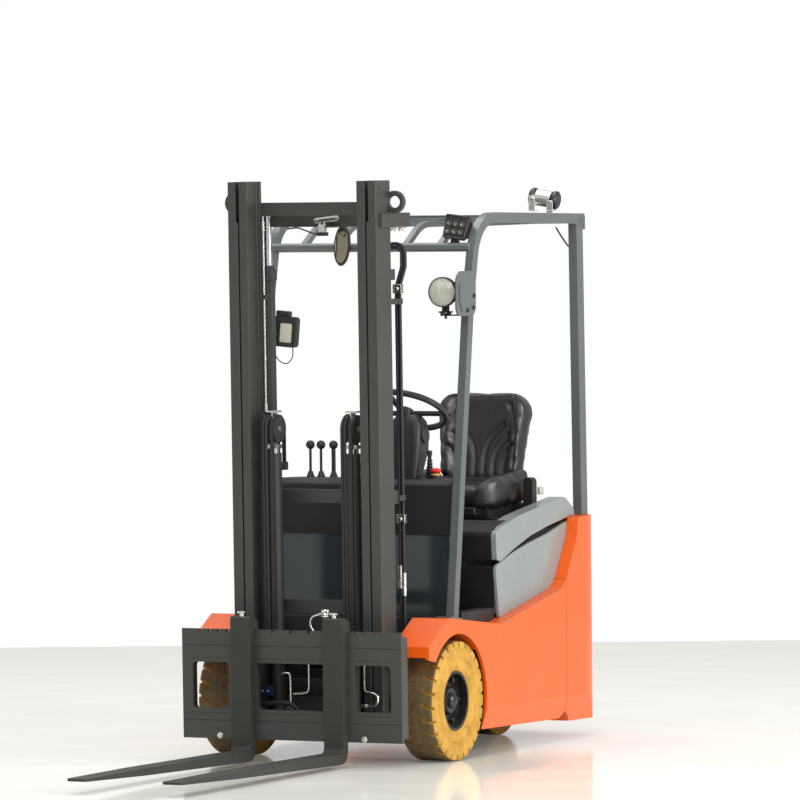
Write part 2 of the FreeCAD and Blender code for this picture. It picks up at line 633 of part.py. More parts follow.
lugs = fuse(lug, clone(lug, 30), cyl("x", 148, lug_y, lug_z, 12, 46))
eye_z = D.mast_top - 80
eye_x = D.outer_half + 25
eye = cut(
    revolve("y", ((-9, 26), (-5, 22), (5, 22), (9, 26), (9, 38), (5, 42), (-5, 42), (-9, 38)), eye_x, back - 10, eye_z),
    box("outer_half - 30", "outer_half - 3", back - 30, back + 10, eye_z - 60, eye_z + 60),
)
hose_x, hose_y = D.outer_half - 22, back + 101
clamps = [cut(box(hose_x - 17, hose_x + 17, back + 56, hose_y + 5, z, z + 20),
              [cyl("z", hose_x + dx, hose_y, z - 5, "hose_radius + seat_gap", 30) for dx in (-7, 7)]) for z in (425, 970)]
clamps.append(cut(box(hose_x - 17, hose_x + 17, back - 1, hose_y + 5, 1700, 1720),
                  [cyl("z", hose_x + dx, hose_y, 1690, "hose_radius + seat_gap", 40) for dx in (-7, 7)],
                  box("lift_x - 40", "lift_x + lift_barrel + 5", back - 10, back + 200, 1690, 1730)))
outer_all = cut(
    fuse(pair(outer), outer_bits, pair(fuse(rings)), pair(pivot), pair(lugs), pair(eye), clamps),
    pair(cyl("z", "lift_x", lift_y, 345, "lift_barrel + seat_gap", 1600)),
    pair(cyl("x", "outer_half - 106", "pivot_y", "pivot_z", "20 + shaft_gap", 100)),
)
node("mast_outer", outer_all, at=MAST)
barrel = cut(cyl("z", "lift_x", lift_y, 345.3, "lift_barrel", 1500),
             cyl("z", "lift_x", lift_y, 360, "lift_rod + shaft_gap", 1600))
node("lift_barrels", pair(barrel), at=MAST)

# Supply hoses behind the left upright: a bow at the top, down to the fender

hoses = [pipe((
    (hose_x - 48 - dx, hose_y + 4, 1838), (hose_x - 48 - dx, hose_y + 4, 1916 + dx, 30 + dx),
    (hose_x + 22 + dx, hose_y + 4, 1916 + dx, 30 + dx), (hose_x + 22 + dx, hose_y + 4, 1838, 60),
    (hose_x + dx, hose_y, 1764, 60), (hose_x + dx, hose_y, 400, 40), (hose_x + dx, hose_y + 60, 330),
), "hose_radius") for dx in (-7, 7)]
node("mast_hoses", hoses, at=MAST)

# Inner stage with its crossbars, rod ears and the free-lift cylinders

free_y = run_y + 9
bar = ("-inner_half + 1", "inner_half - 1", back - 14, back - 2)
inner_bits = [box(*bar, low, high) for low, high in ((120, 240), (551, 603))]
inner_bits.append(box(*bar, "mast_top - 129", "mast_top - 79"))
inner_bits += pair(box("inner_half - 50", "inner_half", back - 2, back + 91, "mast_top - 115", "mast_top - 85"))
inner_bits += pair(box("free_x - 25", "inner_half - 1", back - 14, back - 2, 1085, 1115))
inner_bits += pair(box("free_x - 20", "free_x + 20", free_y + 10, back - 2, 1085, 1115))
inner_bits += pair(box("free_x - 25", "free_x + 25", free_y - 25, back - 2, 146, 159.7))
anchors = box("free_x - 28", "free_x + 26", back - 14, back + 8, 1085, 1115)
inner_bits += [anchors, clone(anchors, "-2 * free_x")]
pipe_x = -D.inner_half + 41
inner_bits.append(cut(box("-inner_half + 5", pipe_x + 9, back - 14, back - 1, 1722, 1738),
                      cyl("z", pipe_x, back - 8, 1700, "5 + seat_gap", 60)))
inner_all = cut(fuse(pair(channel(D.inner_half, D.inner_wide, 12, 9)), *inner_bits),
                pair(cyl("z", "free_x", free_y, 160, "free_barrel + seat_gap", 1200)))
node("mast_inner", inner_all, at=MAST)
node("lift_rods", pair(cyl("z", "lift_x", lift_y, 380, "lift_rod", "mast_top - 115 - 380 - seat_gap")), at=MAST)
free_barrel = cut(cyl("z", "free_x", free_y, 160, "free_barrel", 990),
                  cyl("z", "free_x", free_y, 176, "free_rod + shaft_gap", 1100))
node("free_lift_barrels", pair(free_barrel), at=MAST)
node("stage_pipe", fuse(cyl("z", pipe_x, back - 8, 1301, 5, "mast_top - 129 - 1301 - seat_gap"),
                        cyl("z", pipe_x, back - 8, 1301, 8, 30), cyl("z", pipe_x, back - 8, 1975, 8, 34)), at=MAST)

# Heads of the free-lift cylinders: clevis, hose sheave and chain sheave, the same way round on both sides

hose_at, chain_at = -14, 15
strand = D.sheave_radius + 5
head = fuse(
    cyl("z", "free_x", free_y, 190, "free_rod", 985),
    box("free_x - 27", "free_x + 26", free_y - 18, free_y + 18, "sheave_z - 72", "sheave_z - 58"),
    box("free_x - 0.3", "free_x + 4.7", free_y - 20, free_y + 20, "sheave_z - 60", "sheave_z + 66"),
    box("free_x - 24", "free_x + 24", free_y - 16, free_y + 16, "sheave_z + 62", "sheave_z + 68"),
    cyl("x", "free_x - 27", free_y, "sheave_z", 12, 53),
)
node("free_lift_heads", head, clone(head, "-2 * free_x"), at=MAST)


def grooved(half, lip):
    """Outline of a sheave, half as wide as given, lips on both edges."""
    rim = D.sheave_radius
    return ((-half, rim + 5), (-half + lip, rim + 5), (-half + lip, rim), (half - lip, rim), (half - lip, rim + 5),
            (half, rim + 5), (half, 12 + D.seat_gap), (-half, 12 + D.seat_gap))


sheaves = [revolve("x", grooved(13.2, 1), "free_x - 14", free_y, "sheave_z"),
           revolve("x", grooved(9.5, 2), "free_x + 15", free_y, "sheave_z")]
node("sheaves", sheaves, [clone(sheave, "-2 * free_x") for sheave in sheaves], at=MAST)

# Chains and hoses over the sheaves: bends on the head, front strands on the carriage, rear strands on the stage

LINK = 19.05


def chain_side(y, low, high):
    """Side view of a leaf chain: links bulge at every pin, half a pitch apart."""
    count = int((high - low) // LINK)
    front = [(y - (4.6 if i % 2 else 3.2), low + (high - low) * i / (2 * count)) for i in range(2 * count + 1)]
    rear = [(2 * y - v, z) for v, z in front]
    return front + rear[::-1]


def strands(side, low, high):
    """Straight runs of one chain and two hoses at a distance in front of or behind the sheaves."""
    chain = prism("x", chain_side(free_y + side * strand, low, high), "free_x + 8.5", "free_x + 21.5")
    hose = [cyl("z", "free_x - 14 + %s" % dx, free_y + side * (D.sheave_radius + D.hose_radius + 0.3), low,
                "hose_radius - 0.6", high - low) for dx in (-6, 6)]
    return [chain] + hose


def bend(x0, x1, inner, outer):
    """Half turn over a sheave."""
    whole = revolve("x", ((x0, inner), (x1, inner), (x1, outer), (x0, outer)), "free_x", free_y, "sheave_z")
    return common(whole, box("free_x - 60", "free_x + 60", free_y - 100, free_y + 100, "sheave_z", "sheave_z + 100"))


def hose_bend(dx):
    """Half turn of one hose over its sheave."""
    whole = doc.addObject("Part::Torus", "hose")
    whole.setExpression("Radius1", expr("sheave_radius + hose_radius + seat_gap"))
    whole.setExpression("Radius2", expr("hose_radius - 0.6"))
    whole.Placement = FreeCAD.Placement(V(), TURN["x"])
    for name, value in (("x", "free_x - 14 + %s" % dx), ("y", free_y), ("z", "sheave_z")):
        whole.setExpression("Placement.Base." + name, expr(value))
    return common(whole, box("free_x - 60", "free_x + 60", free_y - 100, free_y + 100, "sheave_z", "sheave_z + 100"))


def both(parts):
    """The parts of one head and their copies on the other."""
    return parts + [clone(part, "-2 * free_x") for part in parts]


node("head_bends", both([bend(8.5, 21.5, D.sheave_radius + 0.3, D.sheave_radius + 9), hose_bend(-6), hose_bend(6)]), at=MAST)
node("front_strands", both(strands(-1, 440.3, D.sheave_z - 0.3)), at=MAST)
node("rear_strands", both(strands(1, 1115.3, D.sheave_z - 0.3)), at=MAST)

# Carriage on rollers in the inner stage

plate_x = D.inner_half - D.inner_wide - 31
side_plate = prism("x", (
    (-322, 110, 12), (-322, 480, 12), (-240, 480, 30), (-187, 440, 20), (-187, 150, 20), (-240, 110, 30),
), plate_x, plate_x + 14)
rollers = [roller(plate_x + 15, D.inner_half - 26, z, plate_x + 4) for z in (170, 420)]
slide_bars = [box(-356, 356, -366, -322, low, high) for low, high in ((118, 168), (424, 474))]
chain_plate = box(-plate_x - 1, plate_x + 1, -257, -231, 400, 440)
node("carriage", fuse(pair(side_plate), pair(fuse(rollers)), slide_bars, chain_plate), at=MAST)

# Side-shifting fork bar with its three windows and the notches for the fork pins

bar_back = D.bar_front + D.bar_thick
frame = box("-bar_half", "bar_half", D.bar_front, bar_back, "bar_low", "bar_high")
windows = []
for x0, x1 in ((-408, -260), (-145, 145), (260, 408)):
    windows.append(prism("y", ((x0, 210, 14), (x1, 210, 14), (x1, 384, 14), (x0, 384, 14)), -430, -360))
notches = [box(x - 5, x + 5, -420, -360, "bar_high - 10", "bar_high + 5")
           for x in (-375, -338, -300, -262, -150, -75, 0, 75, 150, 262, 300, 338, 375)]
lip_cut = [box("-bar_half - 1", "bar_half + 1", D.bar_front + 16, bar_back + 1, "bar_high - 18", "bar_high + 1"),
           box("-bar_half - 1", "bar_half + 1", D.bar_front + 16, bar_back + 1, "bar_low - 1", "bar_low + 14")]
guides = [box(-390, 390, bar_back - 1, -330, 474.3, 484), box(-390, 390, bar_back - 1, -330, 168.3, 178)]
end_plate = box("bar_half - 12", "bar_half", D.bar_front, bar_back + 20, "bar_low + 16", "bar_high - 20")
node("fork_bar", fuse(cut(frame, windows, notches, lip_cut), pair(end_plate), guides), at=MAST)

# Forks hooked over the bar

shank_back = D.bar_front - D.seat_gap
shank_front = shank_back - D.fork_thick
blade_top = D.fork_low + D.fork_thick
bend_y = tip + 0.353 * D.fork_length
profile = prism("x", (
    (shank_back, D.fork_low, 50), (shank_back, D.bar_low - 26), (D.bar_front + 28, D.bar_low - 26),
    (D.bar_front + 28, D.bar_low + 10), (D.bar_front + 16.3, D.bar_low + 10), (D.bar_front + 16.3, D.bar_low - 0.3),
    (shank_back, D.bar_low - 0.3), (shank_back, D.bar_high + 0.3), (D.bar_front + 16.3, D.bar_high + 0.3),
    (D.bar_front + 16.3, D.bar_high - 14), (D.bar_front + 28, D.bar_high - 14), (D.bar_front + 28, 540, 10),
    (D.bar_front - 10, 558, 10), (shank_front, 558, 10), (shank_front, blade_top, 22), (bend_y, tip_top - 4),
    (tip, tip_top, 3), (tip, tip_top - 10, 3), (bend_y, D.fork_low + 27), (shank_front - 54, D.fork_low),
), "-fork_wide / 2", "fork_wide / 2")
half_fork = D.fork_wide / 2
taper = prism("z", (
    (-half_fork, -300), (half_fork, -300), (half_fork, tip, 16), (-half_fork, tip, 16),
), 0, 700)
beside = pair(box(26, "fork_wide / 2 + 1", shank_back, D.bar_front + 40, 60, D.bar_low + 12))
pin = fuse(cyl("z", 0, D.bar_front - 20, 557, 8, 14), cyl("x", -14, D.bar_front - 20, 572, 5, 28))
fork = fuse(cut(common(profile, taper), beside), pin)
node("fork_left", clone(fork, "fork_x"), at=MAST)
node("fork_right", clone(fork, "-fork_x"), at=MAST)

# Tilt cylinders under the floor

eye_pt = lean.multVec(V(0, lug_y, lug_z))
anchor = V(0, 330, 330)
along = (eye_pt - anchor)
reach = along.Length
angle = math.degrees(math.atan2(along.z, -along.y))
barrel = fuse(cyl("y", 171, -270, 0, 28, 225), cyl("x", 163, 0, 0, 22, 16), box(163, 179, -50, 0, -18, 18))
barrel = cut(barrel, cyl("y", 171, -280, 0, "16 + shaft_gap", 222), cyl("x", 150, 0, 0, "12 + shaft_gap", 40))
rod = fuse(cyl("y", 171, -reach + 34, 0, 16, 260), cyl("x", 162.6, -reach, 0, 22, 16.8), box(164, 178, -reach, -reach + 38, -12, 12))
rod = cut(rod, cyl("x", 150, -reach, 0, 13, 40))
TILT = TRUCK.multiply(FreeCAD.Placement(anchor, FreeCAD.Rotation(V(1, 0, 0), -angle)))
node("tilt_barrels", pair(barrel), at=TILT)
node("tilt_rods", pair(rod), at=TILT)

# Lamps, mirror, terminal on the guard; pedals and step pads

lens = revolve("y", ((0, 0), (0, 44, 3), (6, 50, 2), (22, 50), (48, 38, 10), (60, 20, 6), (60, 0)), 353, 150, 1739)
side_bracket = prism("x", ((191, 1690, 20), (191, 1811, 30), (240, 1811), (300, 1811, 20), (362, 1740, 20), (362, 1647, 20),
                           (300, 1647), (240, 1647, 20)), "guard_half - pillar_wide - 6.3", "guard_half - pillar_wide - 0.3")
side_bracket = cut(side_bracket, [box(380, 410, 300, 340, z, z + 9) for z in (1668, 1690, 1712)])
work_lamp = fuse(lens, box(341, 365, 172, 196, 1650, 1692), box(341, "guard_half - pillar_wide - 2", 172, 262, 1650, 1656),
                 side_bracket)
led_lamp = turned(box(-51, 51, -15, 15, -48, 48), V(1, 0, 0), -14, V(D.guard_half - D.pillar_wide - 51.3, 312, 1978))
front_z = 1905
sensor = fuse(box(8, 108, 276, 304, front_z + 64, front_z + 92), box(30, 86, 280, 300, front_z + 17.3, front_z + 66))
rear_lamp = fuse(box(210, 330, 1250, 1285, 2045, 2120), box(225, 240, 1250, 1262, "guard_top - 13.7", 2050),
                 box(300, 315, 1250, 1262, "guard_top - 13.7", 2050))
node("lamps", work_lamp, led_lamp, sensor, rear_lamp)
shell = prism("y", ((-148, 1830, 36), (-72, 1830, 36), (-72, 1960, 36), (-148, 1960, 36)), 252, 264)
node("mirror", fuse(shell, box(-118, -102, 263, 272.7, 1895, 1915)))
node("terminal", prism("y", ((-D.guard_half + D.pillar_wide + 0.3, 1530, 4), (-310, 1530, 8), (-310, 1662, 8),
                             (-D.guard_half + D.pillar_wide + 0.3, 1662, 4)), 262, 300))
pedals = [fuse(box(x, x + 60, 330, 336, 545, 640), box(x + 24, x + 36, 166.3, 332, 600, 612)) for x in (40, 180)]
teeth = []
for i in range(11):
    teeth += [(152 + 26 * i, 535), (155 + 26 * i, 543), (171 + 26 * i, 543), (174 + 26 * i, 535)]
pad = prism("x", [(152, 511.2)] + teeth + [(436, 535), (436, 500.7), (365, 487.5)], "guard_half - 48", "hood_half - 13")
node("pedals_and_pads", pedals, pair(pad))

doc.recompute()
bad = [o.Name for o in doc.Objects if "Invalid" in o.State or "Error" in o.State]
bad += [o.Label for o in NODES if o.Shape.isNull() or not o.Shape.isValid()]
if bad:
    raise SystemExit("not built: " + ", ".join(bad))
os.makedirs("parts", exist_ok=True)
for obj in NODES:
    obj.Shape.exportStep("parts/%s.step" % obj.Label)
print(len(NODES), "pieces; tip", round(tip_y + shift, 2), "tail", round(D.tail + shift, 2), "shift", round(shift, 3))
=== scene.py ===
import bmesh
import bpy
import json
import math
from mathutils import Matrix, Vector


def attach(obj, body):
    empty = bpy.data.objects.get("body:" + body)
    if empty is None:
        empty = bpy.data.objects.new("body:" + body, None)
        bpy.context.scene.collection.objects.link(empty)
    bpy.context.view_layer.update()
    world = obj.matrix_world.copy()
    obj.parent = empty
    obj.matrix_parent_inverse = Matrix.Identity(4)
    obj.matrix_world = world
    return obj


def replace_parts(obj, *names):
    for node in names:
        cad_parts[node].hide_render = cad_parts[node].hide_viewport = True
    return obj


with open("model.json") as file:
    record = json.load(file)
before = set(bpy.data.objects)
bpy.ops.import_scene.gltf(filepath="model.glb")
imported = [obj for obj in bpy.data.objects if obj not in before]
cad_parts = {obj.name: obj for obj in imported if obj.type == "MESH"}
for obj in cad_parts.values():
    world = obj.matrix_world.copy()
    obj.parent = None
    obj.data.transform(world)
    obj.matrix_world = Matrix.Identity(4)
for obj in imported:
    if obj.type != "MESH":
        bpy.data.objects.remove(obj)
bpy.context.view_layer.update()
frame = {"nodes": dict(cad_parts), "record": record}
nodes = frame["nodes"]
record = frame["record"]

# Places: the truck's own coordinates in millimetres, and the same leaning with the mast
SHIFT = 0.167084
LEAN = math.radians(0.8)


def truck(x, y, z):
    return Vector((x / 1000, y / 1000 + SHIFT, z / 1000))


def mast(x, y, z):
    rise = z - 150
    return truck(x, y * math.cos(LEAN) - rise * math.sin(LEAN), 150 + y * math.sin(LEAN) + rise * math.cos(LEAN))


# Camera at the photograph's angle

def place_camera():
    azimuth, pitch, roll = math.radians(25.87), math.radians(1.79), math.radians(-0.54)
    back = Vector((math.sin(azimuth) * math.cos(pitch), -math.cos(azimuth) * math.cos(pitch), math.sin(pitch)))
    right = (-back).cross(Vector((0, 0, 1))).normalized()
    up = right.cross(-back)
    turned_right = right * math.cos(roll) + up * math.sin(roll)
    turned_up = up * math.cos(roll) - right * math.sin(roll)
    data = bpy.data.cameras.new("camera")
    data.lens = 300.7
    data.sensor_width = 36
    data.clip_end = 200
    camera = bpy.data.objects.new("camera", data)
    bpy.context.scene.collection.objects.link(camera)
    rotation = Matrix((turned_right, turned_up, back)).transposed().to_4x4()
    camera.matrix_world = Matrix.Translation(truck(11105, -22369, 2117)) @ rotation
    bpy.context.scene.camera = camera


place_camera()
bpy.context.scene.view_settings.view_transform = "Standard"


# Node graphs

def linear(colour):
    """A colour given 0 to 1 as on a screen, as the renderer's linear values."""
    return tuple(c / 12.92 if c <= 0.04045 else ((c + 0.055) / 1.055) ** 2.4 for c in colour) + (1,)


class Graph:
    """A material's nodes, with short calls for the kinds that are used here."""

    def __init__(self, name):
        self.material = bpy.data.materials.new(name)
        self.material.use_nodes = True
        self.tree = self.material.node_tree
        self.shader = self.tree.nodes["Principled BSDF"]
        self.place = self.tree.nodes.new("ShaderNodeTexCoord").outputs["Object"]

    def link(self, source, target):
        self.tree.links.new(source, target)

    def node(self, kind, inputs=(), **settings):
        node = self.tree.nodes.new("ShaderNode" + kind)
        for key, value in settings.items():
            setattr(node, key, value)
        for key, value in dict(inputs).items():
            if isinstance(value, bpy.types.NodeSocket):
                self.link(value, node.inputs[key])
            else:
                node.inputs[key].default_value = value
        return node

    def noise(self, scale, detail=3, rough=0.5, vector=None, stretch=None):
        vector = vector or self.place
        if stretch:
            vector = self.node("Mapping", {"Vector": vector, "Scale": stretch}).outputs[0]
        inputs = {"Vector": vector, "Scale": scale, "Detail": detail, "Roughness": rough}
        return self.node("TexNoise", inputs).outputs[0]

    def remap(self, value, low, high, to_low=0.0, to_high=1.0):
        inputs = {"Value": value, "From Min": low, "From Max": high, "To Min": to_low, "To Max": to_high}
        return self.node("MapRange", inputs).outputs[0]

    def maths(self, operation, a, b=0.0):
        return self.node("Math", {0: a, 1: b}, operation=operation, use_clamp=False).outputs[0]

    def blend(self, factor, a, b):
        node = self.node("Mix", data_type="RGBA")
        for socket, value in ((node.inputs["Factor"], factor), (node.inputs[6], a), (node.inputs[7], b)):
            if isinstance(value, bpy.types.NodeSocket):
                self.link(value, socket)
            else:
                socket.default_value = value
        return node.outputs[2]

    def bump(self, height, distance, strength=1.0, normal=None):
        inputs = {"Height": height, "Distance": distance, "Strength": strength}
        if normal is not None:
            inputs["Normal"] = normal
        return self.node("Bump", inputs).outputs[0]

    def soft_edges(self, radius):
        return self.node("Bevel", {"Radius": radius}, samples=4).outputs[0]

    def upward(self):
        """1 on faces that look up, 0 on the rest."""
        normal = self.node("NewGeometry").outputs["Normal"]
        return self.remap(self.node("SeparateXYZ", {0: normal}).outputs[2], 0.6, 0.98)

    def edges(self, radius):
        """1 along worn edges, from the angle between the rounded and the plain normal."""
        plain = self.node("NewGeometry").outputs["Normal"]
        round_one = self.soft_edges(radius)
        near = self.node("VectorMath", {0: plain, 1: round_one}, operation="DOT_PRODUCT").outputs["Value"]
        return self.remap(near, 0.97, 0.80)

    def finish(self, colour, rough, normal=None, **values):
        for key, value in (("Base Color", colour), ("Roughness", rough)):
            if isinstance(value, bpy.types.NodeSocket):
                self.link(value, self.shader.inputs[key])
            else:
                self.shader.inputs[key].default_value = value
        if normal is not None:
            self.link(normal, self.shader.inputs["Normal"])
        for key, value in values.items():
            self.shader.inputs[key.replace("_", " ")].default_value = value
        return self.material


def paint(name, colour, rough=0.35, edge=0.002, dust=0.25, wear=0.25, worn=(0.5, 0.5, 0.5), peel=0.00006, coat=0.0):
    """Sprayed coat: faint cloudiness, orange peel, settled dust on top faces and rubbed edges."""
    g = Graph(name)
    base = linear(colour)
    darker = tuple(c * 0.9 for c in base[:3]) + (1,)
    tone = g.blend(g.remap(g.noise(2.2, 4, 0.6), 0.35, 0.65), darker, base)
    speck = g.remap(g.noise(60, 5, 0.7), 0.62, 0.72, 0, 0.05)
    tone = g.blend(speck, tone, tuple(c * 0.6 for c in base[:3]) + (1,))
    settled = g.maths("MULTIPLY", g.upward(), g.remap(g.noise(9, 5, 0.65), 0.3, 0.7, 0.2 * dust, dust))
    tone = g.blend(settled, tone, linear((0.62, 0.59, 0.54)))
    rubbed = g.maths("MULTIPLY", g.edges(edge * 1.6), g.remap(g.noise(35, 4, 0.7), 0.45, 0.65, 0, wear))
    tone = g.blend(rubbed, tone, linear(worn))
    shine = g.remap(g.noise(5, 3), 0.3, 0.7, rough * 0.85, rough * 1.2)
    shine = g.maths("ADD", shine, g.maths("MULTIPLY", settled, 0.4))
    normal = g.bump(g.noise(260, 2), peel, 0.6, g.soft_edges(edge))
    return g.finish(tone, shine, normal, Coat_Weight=coat, Coat_Roughness=0.12)


def plastic(name, colour, rough=0.5, grain=0.00012, edge=0.0015, scale=900, dust=0.2):
    """Moulded plastic: fine grain, a little dust on faces that look up."""
    g = Graph(name)
    base = linear(colour)
    tone = g.blend(g.remap(g.noise(3, 4), 0.3, 0.7), tuple(c * 0.85 for c in base[:3]) + (1,), base)
    settled = g.maths("MULTIPLY", g.upward(), g.remap(g.noise(14, 5, 0.7), 0.35, 0.7, 0, dust))
    tone = g.blend(settled, tone, linear((0.55, 0.54, 0.52)))
    shine = g.remap(g.noise(7, 3), 0.3, 0.7, rough * 0.88, rough * 1.12)
    cells = g.node("TexVoronoi", {"Vector": g.place, "Scale": scale}).outputs["Distance"]
    return g.finish(tone, shine, g.bump(cells, grain, 0.7, g.soft_edges(edge)))


def metal(name, colour, rough, brushed=None, edge=0.001, stain=0.15):
    """Bare or plated metal with faint stains, brushed along one direction if given."""
    g = Graph(name)
    base = linear(colour)
    tone = g.blend(g.remap(g.noise(25, 5, 0.7), 0.45, 0.75, 0, stain), base, linear((0.55, 0.52, 0.47)))
    lines = g.noise(60, 4, 0.6, stretch=brushed or (1, 1, 1))
    shine = g.remap(lines, 0.3, 0.7, rough * 0.8, rough * 1.25)
    return g.finish(tone, shine, g.bump(lines, 0.00001, 0.2, g.soft_edges(edge)), Metallic=1.0)


def rubber(name, radius, centre_y, centre_z, depth):
    """Pale solid tyre: grey-brown worn tread, the pale mix in the grooves and on the walls."""
    g = Graph(name)
    local = g.node("VectorMath", {0: g.place, 1: (0, centre_y, centre_z)}, operation="SUBTRACT").outputs[0]
    flat = g.node("VectorMath", {0: local, 1: (0, 1, 1)}, operation="MULTIPLY").outputs[0]
    height = g.node("VectorMath", {0: flat}, operation="LENGTH").outputs["Value"]
    cloud = g.remap(g.noise(14, 5, 0.65), 0.35, 0.7)
    pale = g.blend(cloud, linear((0.80, 0.62, 0.27)), linear((0.64, 0.475, 0.18)))
    smear = g.remap(g.noise(30, 6, 0.75), 0.5, 0.75, 0, 0.5)
    pale = g.blend(smear, pale, linear((0.55, 0.41, 0.22)))
    worn = g.blend(g.remap(g.noise(40, 6, 0.7), 0.35, 0.7), linear((0.32, 0.265, 0.17)), linear((0.44, 0.37, 0.25)))
    ragged = g.maths("ADD", height, g.maths("MULTIPLY", g.maths("SUBTRACT", g.noise(45, 5, 0.7), 0.5), 0.006))
    tread = g.remap(ragged, radius - depth, radius - depth + 0.0018)
    tone = g.blend(tread, pale, worn)
    normal = g.bump(g.noise(180, 5, 0.7), 0.0007, 0.6)
    return g.finish(tone, g.remap(g.noise(20, 3), 0.3, 0.7, 0.62, 0.8), normal, Specular_IOR_Level=0.3)


def vinyl(name):
    """Seat cover: leather-like grain over soft folds."""
    g = Graph(name)
    tone = g.blend(g.remap(g.noise(4, 4), 0.3, 0.7), linear((0.070, 0.070, 0.070)), linear((0.100, 0.100, 0.098)))
    worn = g.remap(g.noise(11, 5, 0.65), 0.5, 0.8, 0, 0.25)
    tone = g.blend(worn, tone, linear((0.17, 0.165, 0.16)))
    voronoi = g.node("TexVoronoi", {"Vector": g.place, "Scale": 420.0}, feature="DISTANCE_TO_EDGE")
    cells = voronoi.outputs["Distance"]
    grain = g.bump(g.remap(cells, 0, 0.35), 0.00025, 0.7)
    folds = g.bump(g.noise(9, 3, 0.5), 0.004, 0.35, grain)
    return g.finish(tone, g.remap(g.noise(6, 4), 0.3, 0.7, 0.24, 0.36), folds, Specular_IOR_Level=0.7)


ORANGE = paint("orange_paint", (0.905, 0.358, 0.02), 0.32, 0.004, 0.04, 0.1, (0.35, 0.2, 0.15), coat=0.18)
GREY = paint("grey_paint", (0.525, 0.555, 0.55), 0.28, 0.004, 0.06, 0.1, (0.55, 0.56, 0.56), coat=0.3)
GUARD = paint("guard_paint", (0.34, 0.365, 0.36), 0.30, 0.004, 0.10, 0.1, (0.5, 0.52, 0.53), coat=0.2)
MAST = paint("mast_paint", (0.222, 0.228, 0.214), 0.42, 0.0016, 0.06, 0.4, (0.36, 0.355, 0.34))
FORK = paint("fork_paint", (0.17, 0.17, 0.155), 0.62, 0.0016, 0.02, 0.5, (0.40, 0.39, 0.36))
FRAME = paint("frame_paint", (0.16, 0.165, 0.17), 0.5, 0.002, 0.35, 0.4, (0.35, 0.33, 0.30))
CAST = paint("cast_hub", (0.15, 0.15, 0.155), 0.55, 0.002, 0.4, 0.3, peel=0.0004)
RIM = paint("rim_black", (0.085, 0.085, 0.09), 0.28, 0.0015, 0.15, 0.35, (0.4, 0.4, 0.39))
BATTERY = paint("battery_grey", (0.33, 0.34, 0.35), 0.5, 0.002, 0.3, 0.4)
BLACK = plastic("black_plastic", (0.115, 0.116, 0.115), 0.45, dust=0.08)
COWL = plastic("cowl_plastic", (0.035, 0.035, 0.033), 0.6, 0.00016, dust=0.05)
DASH = paint("dash_panel", (0.175, 0.215, 0.225), 0.16, 0.003, 0.05, 0.05, (0.3, 0.32, 0.33), coat=0.5)
VINYL = vinyl("seat_vinyl")
ZINC = metal("zinc", (0.86, 0.86, 0.84), 0.26, stain=0.05)
CHROME = metal("rod_chrome", (0.88, 0.88, 0.88), 0.12, (1, 1, 14))
HOSE = plastic("hose_rubber", (0.12, 0.12, 0.12), 0.6, 0.0003, scale=500)
LAMP = plastic("lamp_body", (0.12, 0.12, 0.12), 0.35, dust=0.08)
LENS = plastic("lens_clear", (0.74, 0.75, 0.69), 0.06, 0.0, 0.0005, dust=0)
GLASS = metal("mirror_glass", (0.60, 0.58, 0.50), 0.08, stain=0.02)
STEEL = metal("chain_steel", (0.40, 0.40, 0.38), 0.42, stain=0.3)
BEIGE = plastic("beige_plate", (0.80, 0.79, 0.72), 0.4, dust=0)
RED = plastic("stop_red", (0.86, 0.10, 0.09), 0.3, 0.00002, dust=0)
YELLOW = plastic("stop_yellow", (0.92, 0.74, 0.10), 0.4, 0.00002, dust=0)
BLUE = plastic("fitting_blue", (0.08, 0.16, 0.27), 0.35, 0.00004, dust=0)
SLOTS = {
    "orange_paint": ORANGE, "grey_paint": GREY, "guard_paint": GUARD, "mast_paint": MAST, "frame_paint": FRAME,
    "cast_hub": CAST, "rim_black": RIM, "battery_grey": BATTERY, "black_plastic": BLACK, "dash_panel": DASH,
    "seat_vinyl": VINYL, "zinc": ZINC, "rod_chrome": CHROME, "lamp_body": LAMP, "mirror_face": LAMP,
    "hose_rubber": HOSE,
}
TYRE = rubber("front_tyre", 0.224, SHIFT, 0.224, 0.004)
TYRE_REAR = rubber("rear_tyre", 0.190, 1.135 + SHIFT, 0.190, 0.003)
SLOTS["tyre_pale"] = TYRE

for part in record["subparts"]:
    cad = nodes[part["node"]]
    finish = SLOTS[part["material_slot"]]
    if part["node"] == "cowl_top":
        finish = COWL
    elif part["node"] in ("fork_left", "fork_right"):
        finish = FORK
    if not cad.data.materials:
        cad.data.materials.append(finish)
    for slot in cad.material_slots:
        slot.material = finish


# Mesh helpers

def add(name, mesh, body, finish, smooth=30):
    """Links a piece, smooths its shading by angle and lets it ride on a body."""
    piece = bpy.data.objects.new(name, mesh)
    bpy.context.scene.collection.objects.link(piece)
    mesh.materials.append(finish)
    for polygon in mesh.polygons:
        polygon.use_smooth = True
    mesh.set_sharp_from_angle(angle=math.radians(smooth))
    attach(piece, body)
    return piece


def to_mesh(name, build):
    mesh = bpy.data.meshes.new(name)
    build.to_mesh(mesh)
    build.free()
    return mesh


def frame_at(origin, axis, hint=(0, 0, 1)):
    """A matrix whose z runs along the axis."""
    z = Vector(axis).normalized()
    hint = Vector(hint)
    if abs(z.dot(hint)) > 0.98:
        hint = Vector((1, 0, 0))
    x = hint.cross(z).normalized()
    return Matrix.Translation(origin) @ Matrix((x, z.cross(x), z)).transposed().to_4x4()


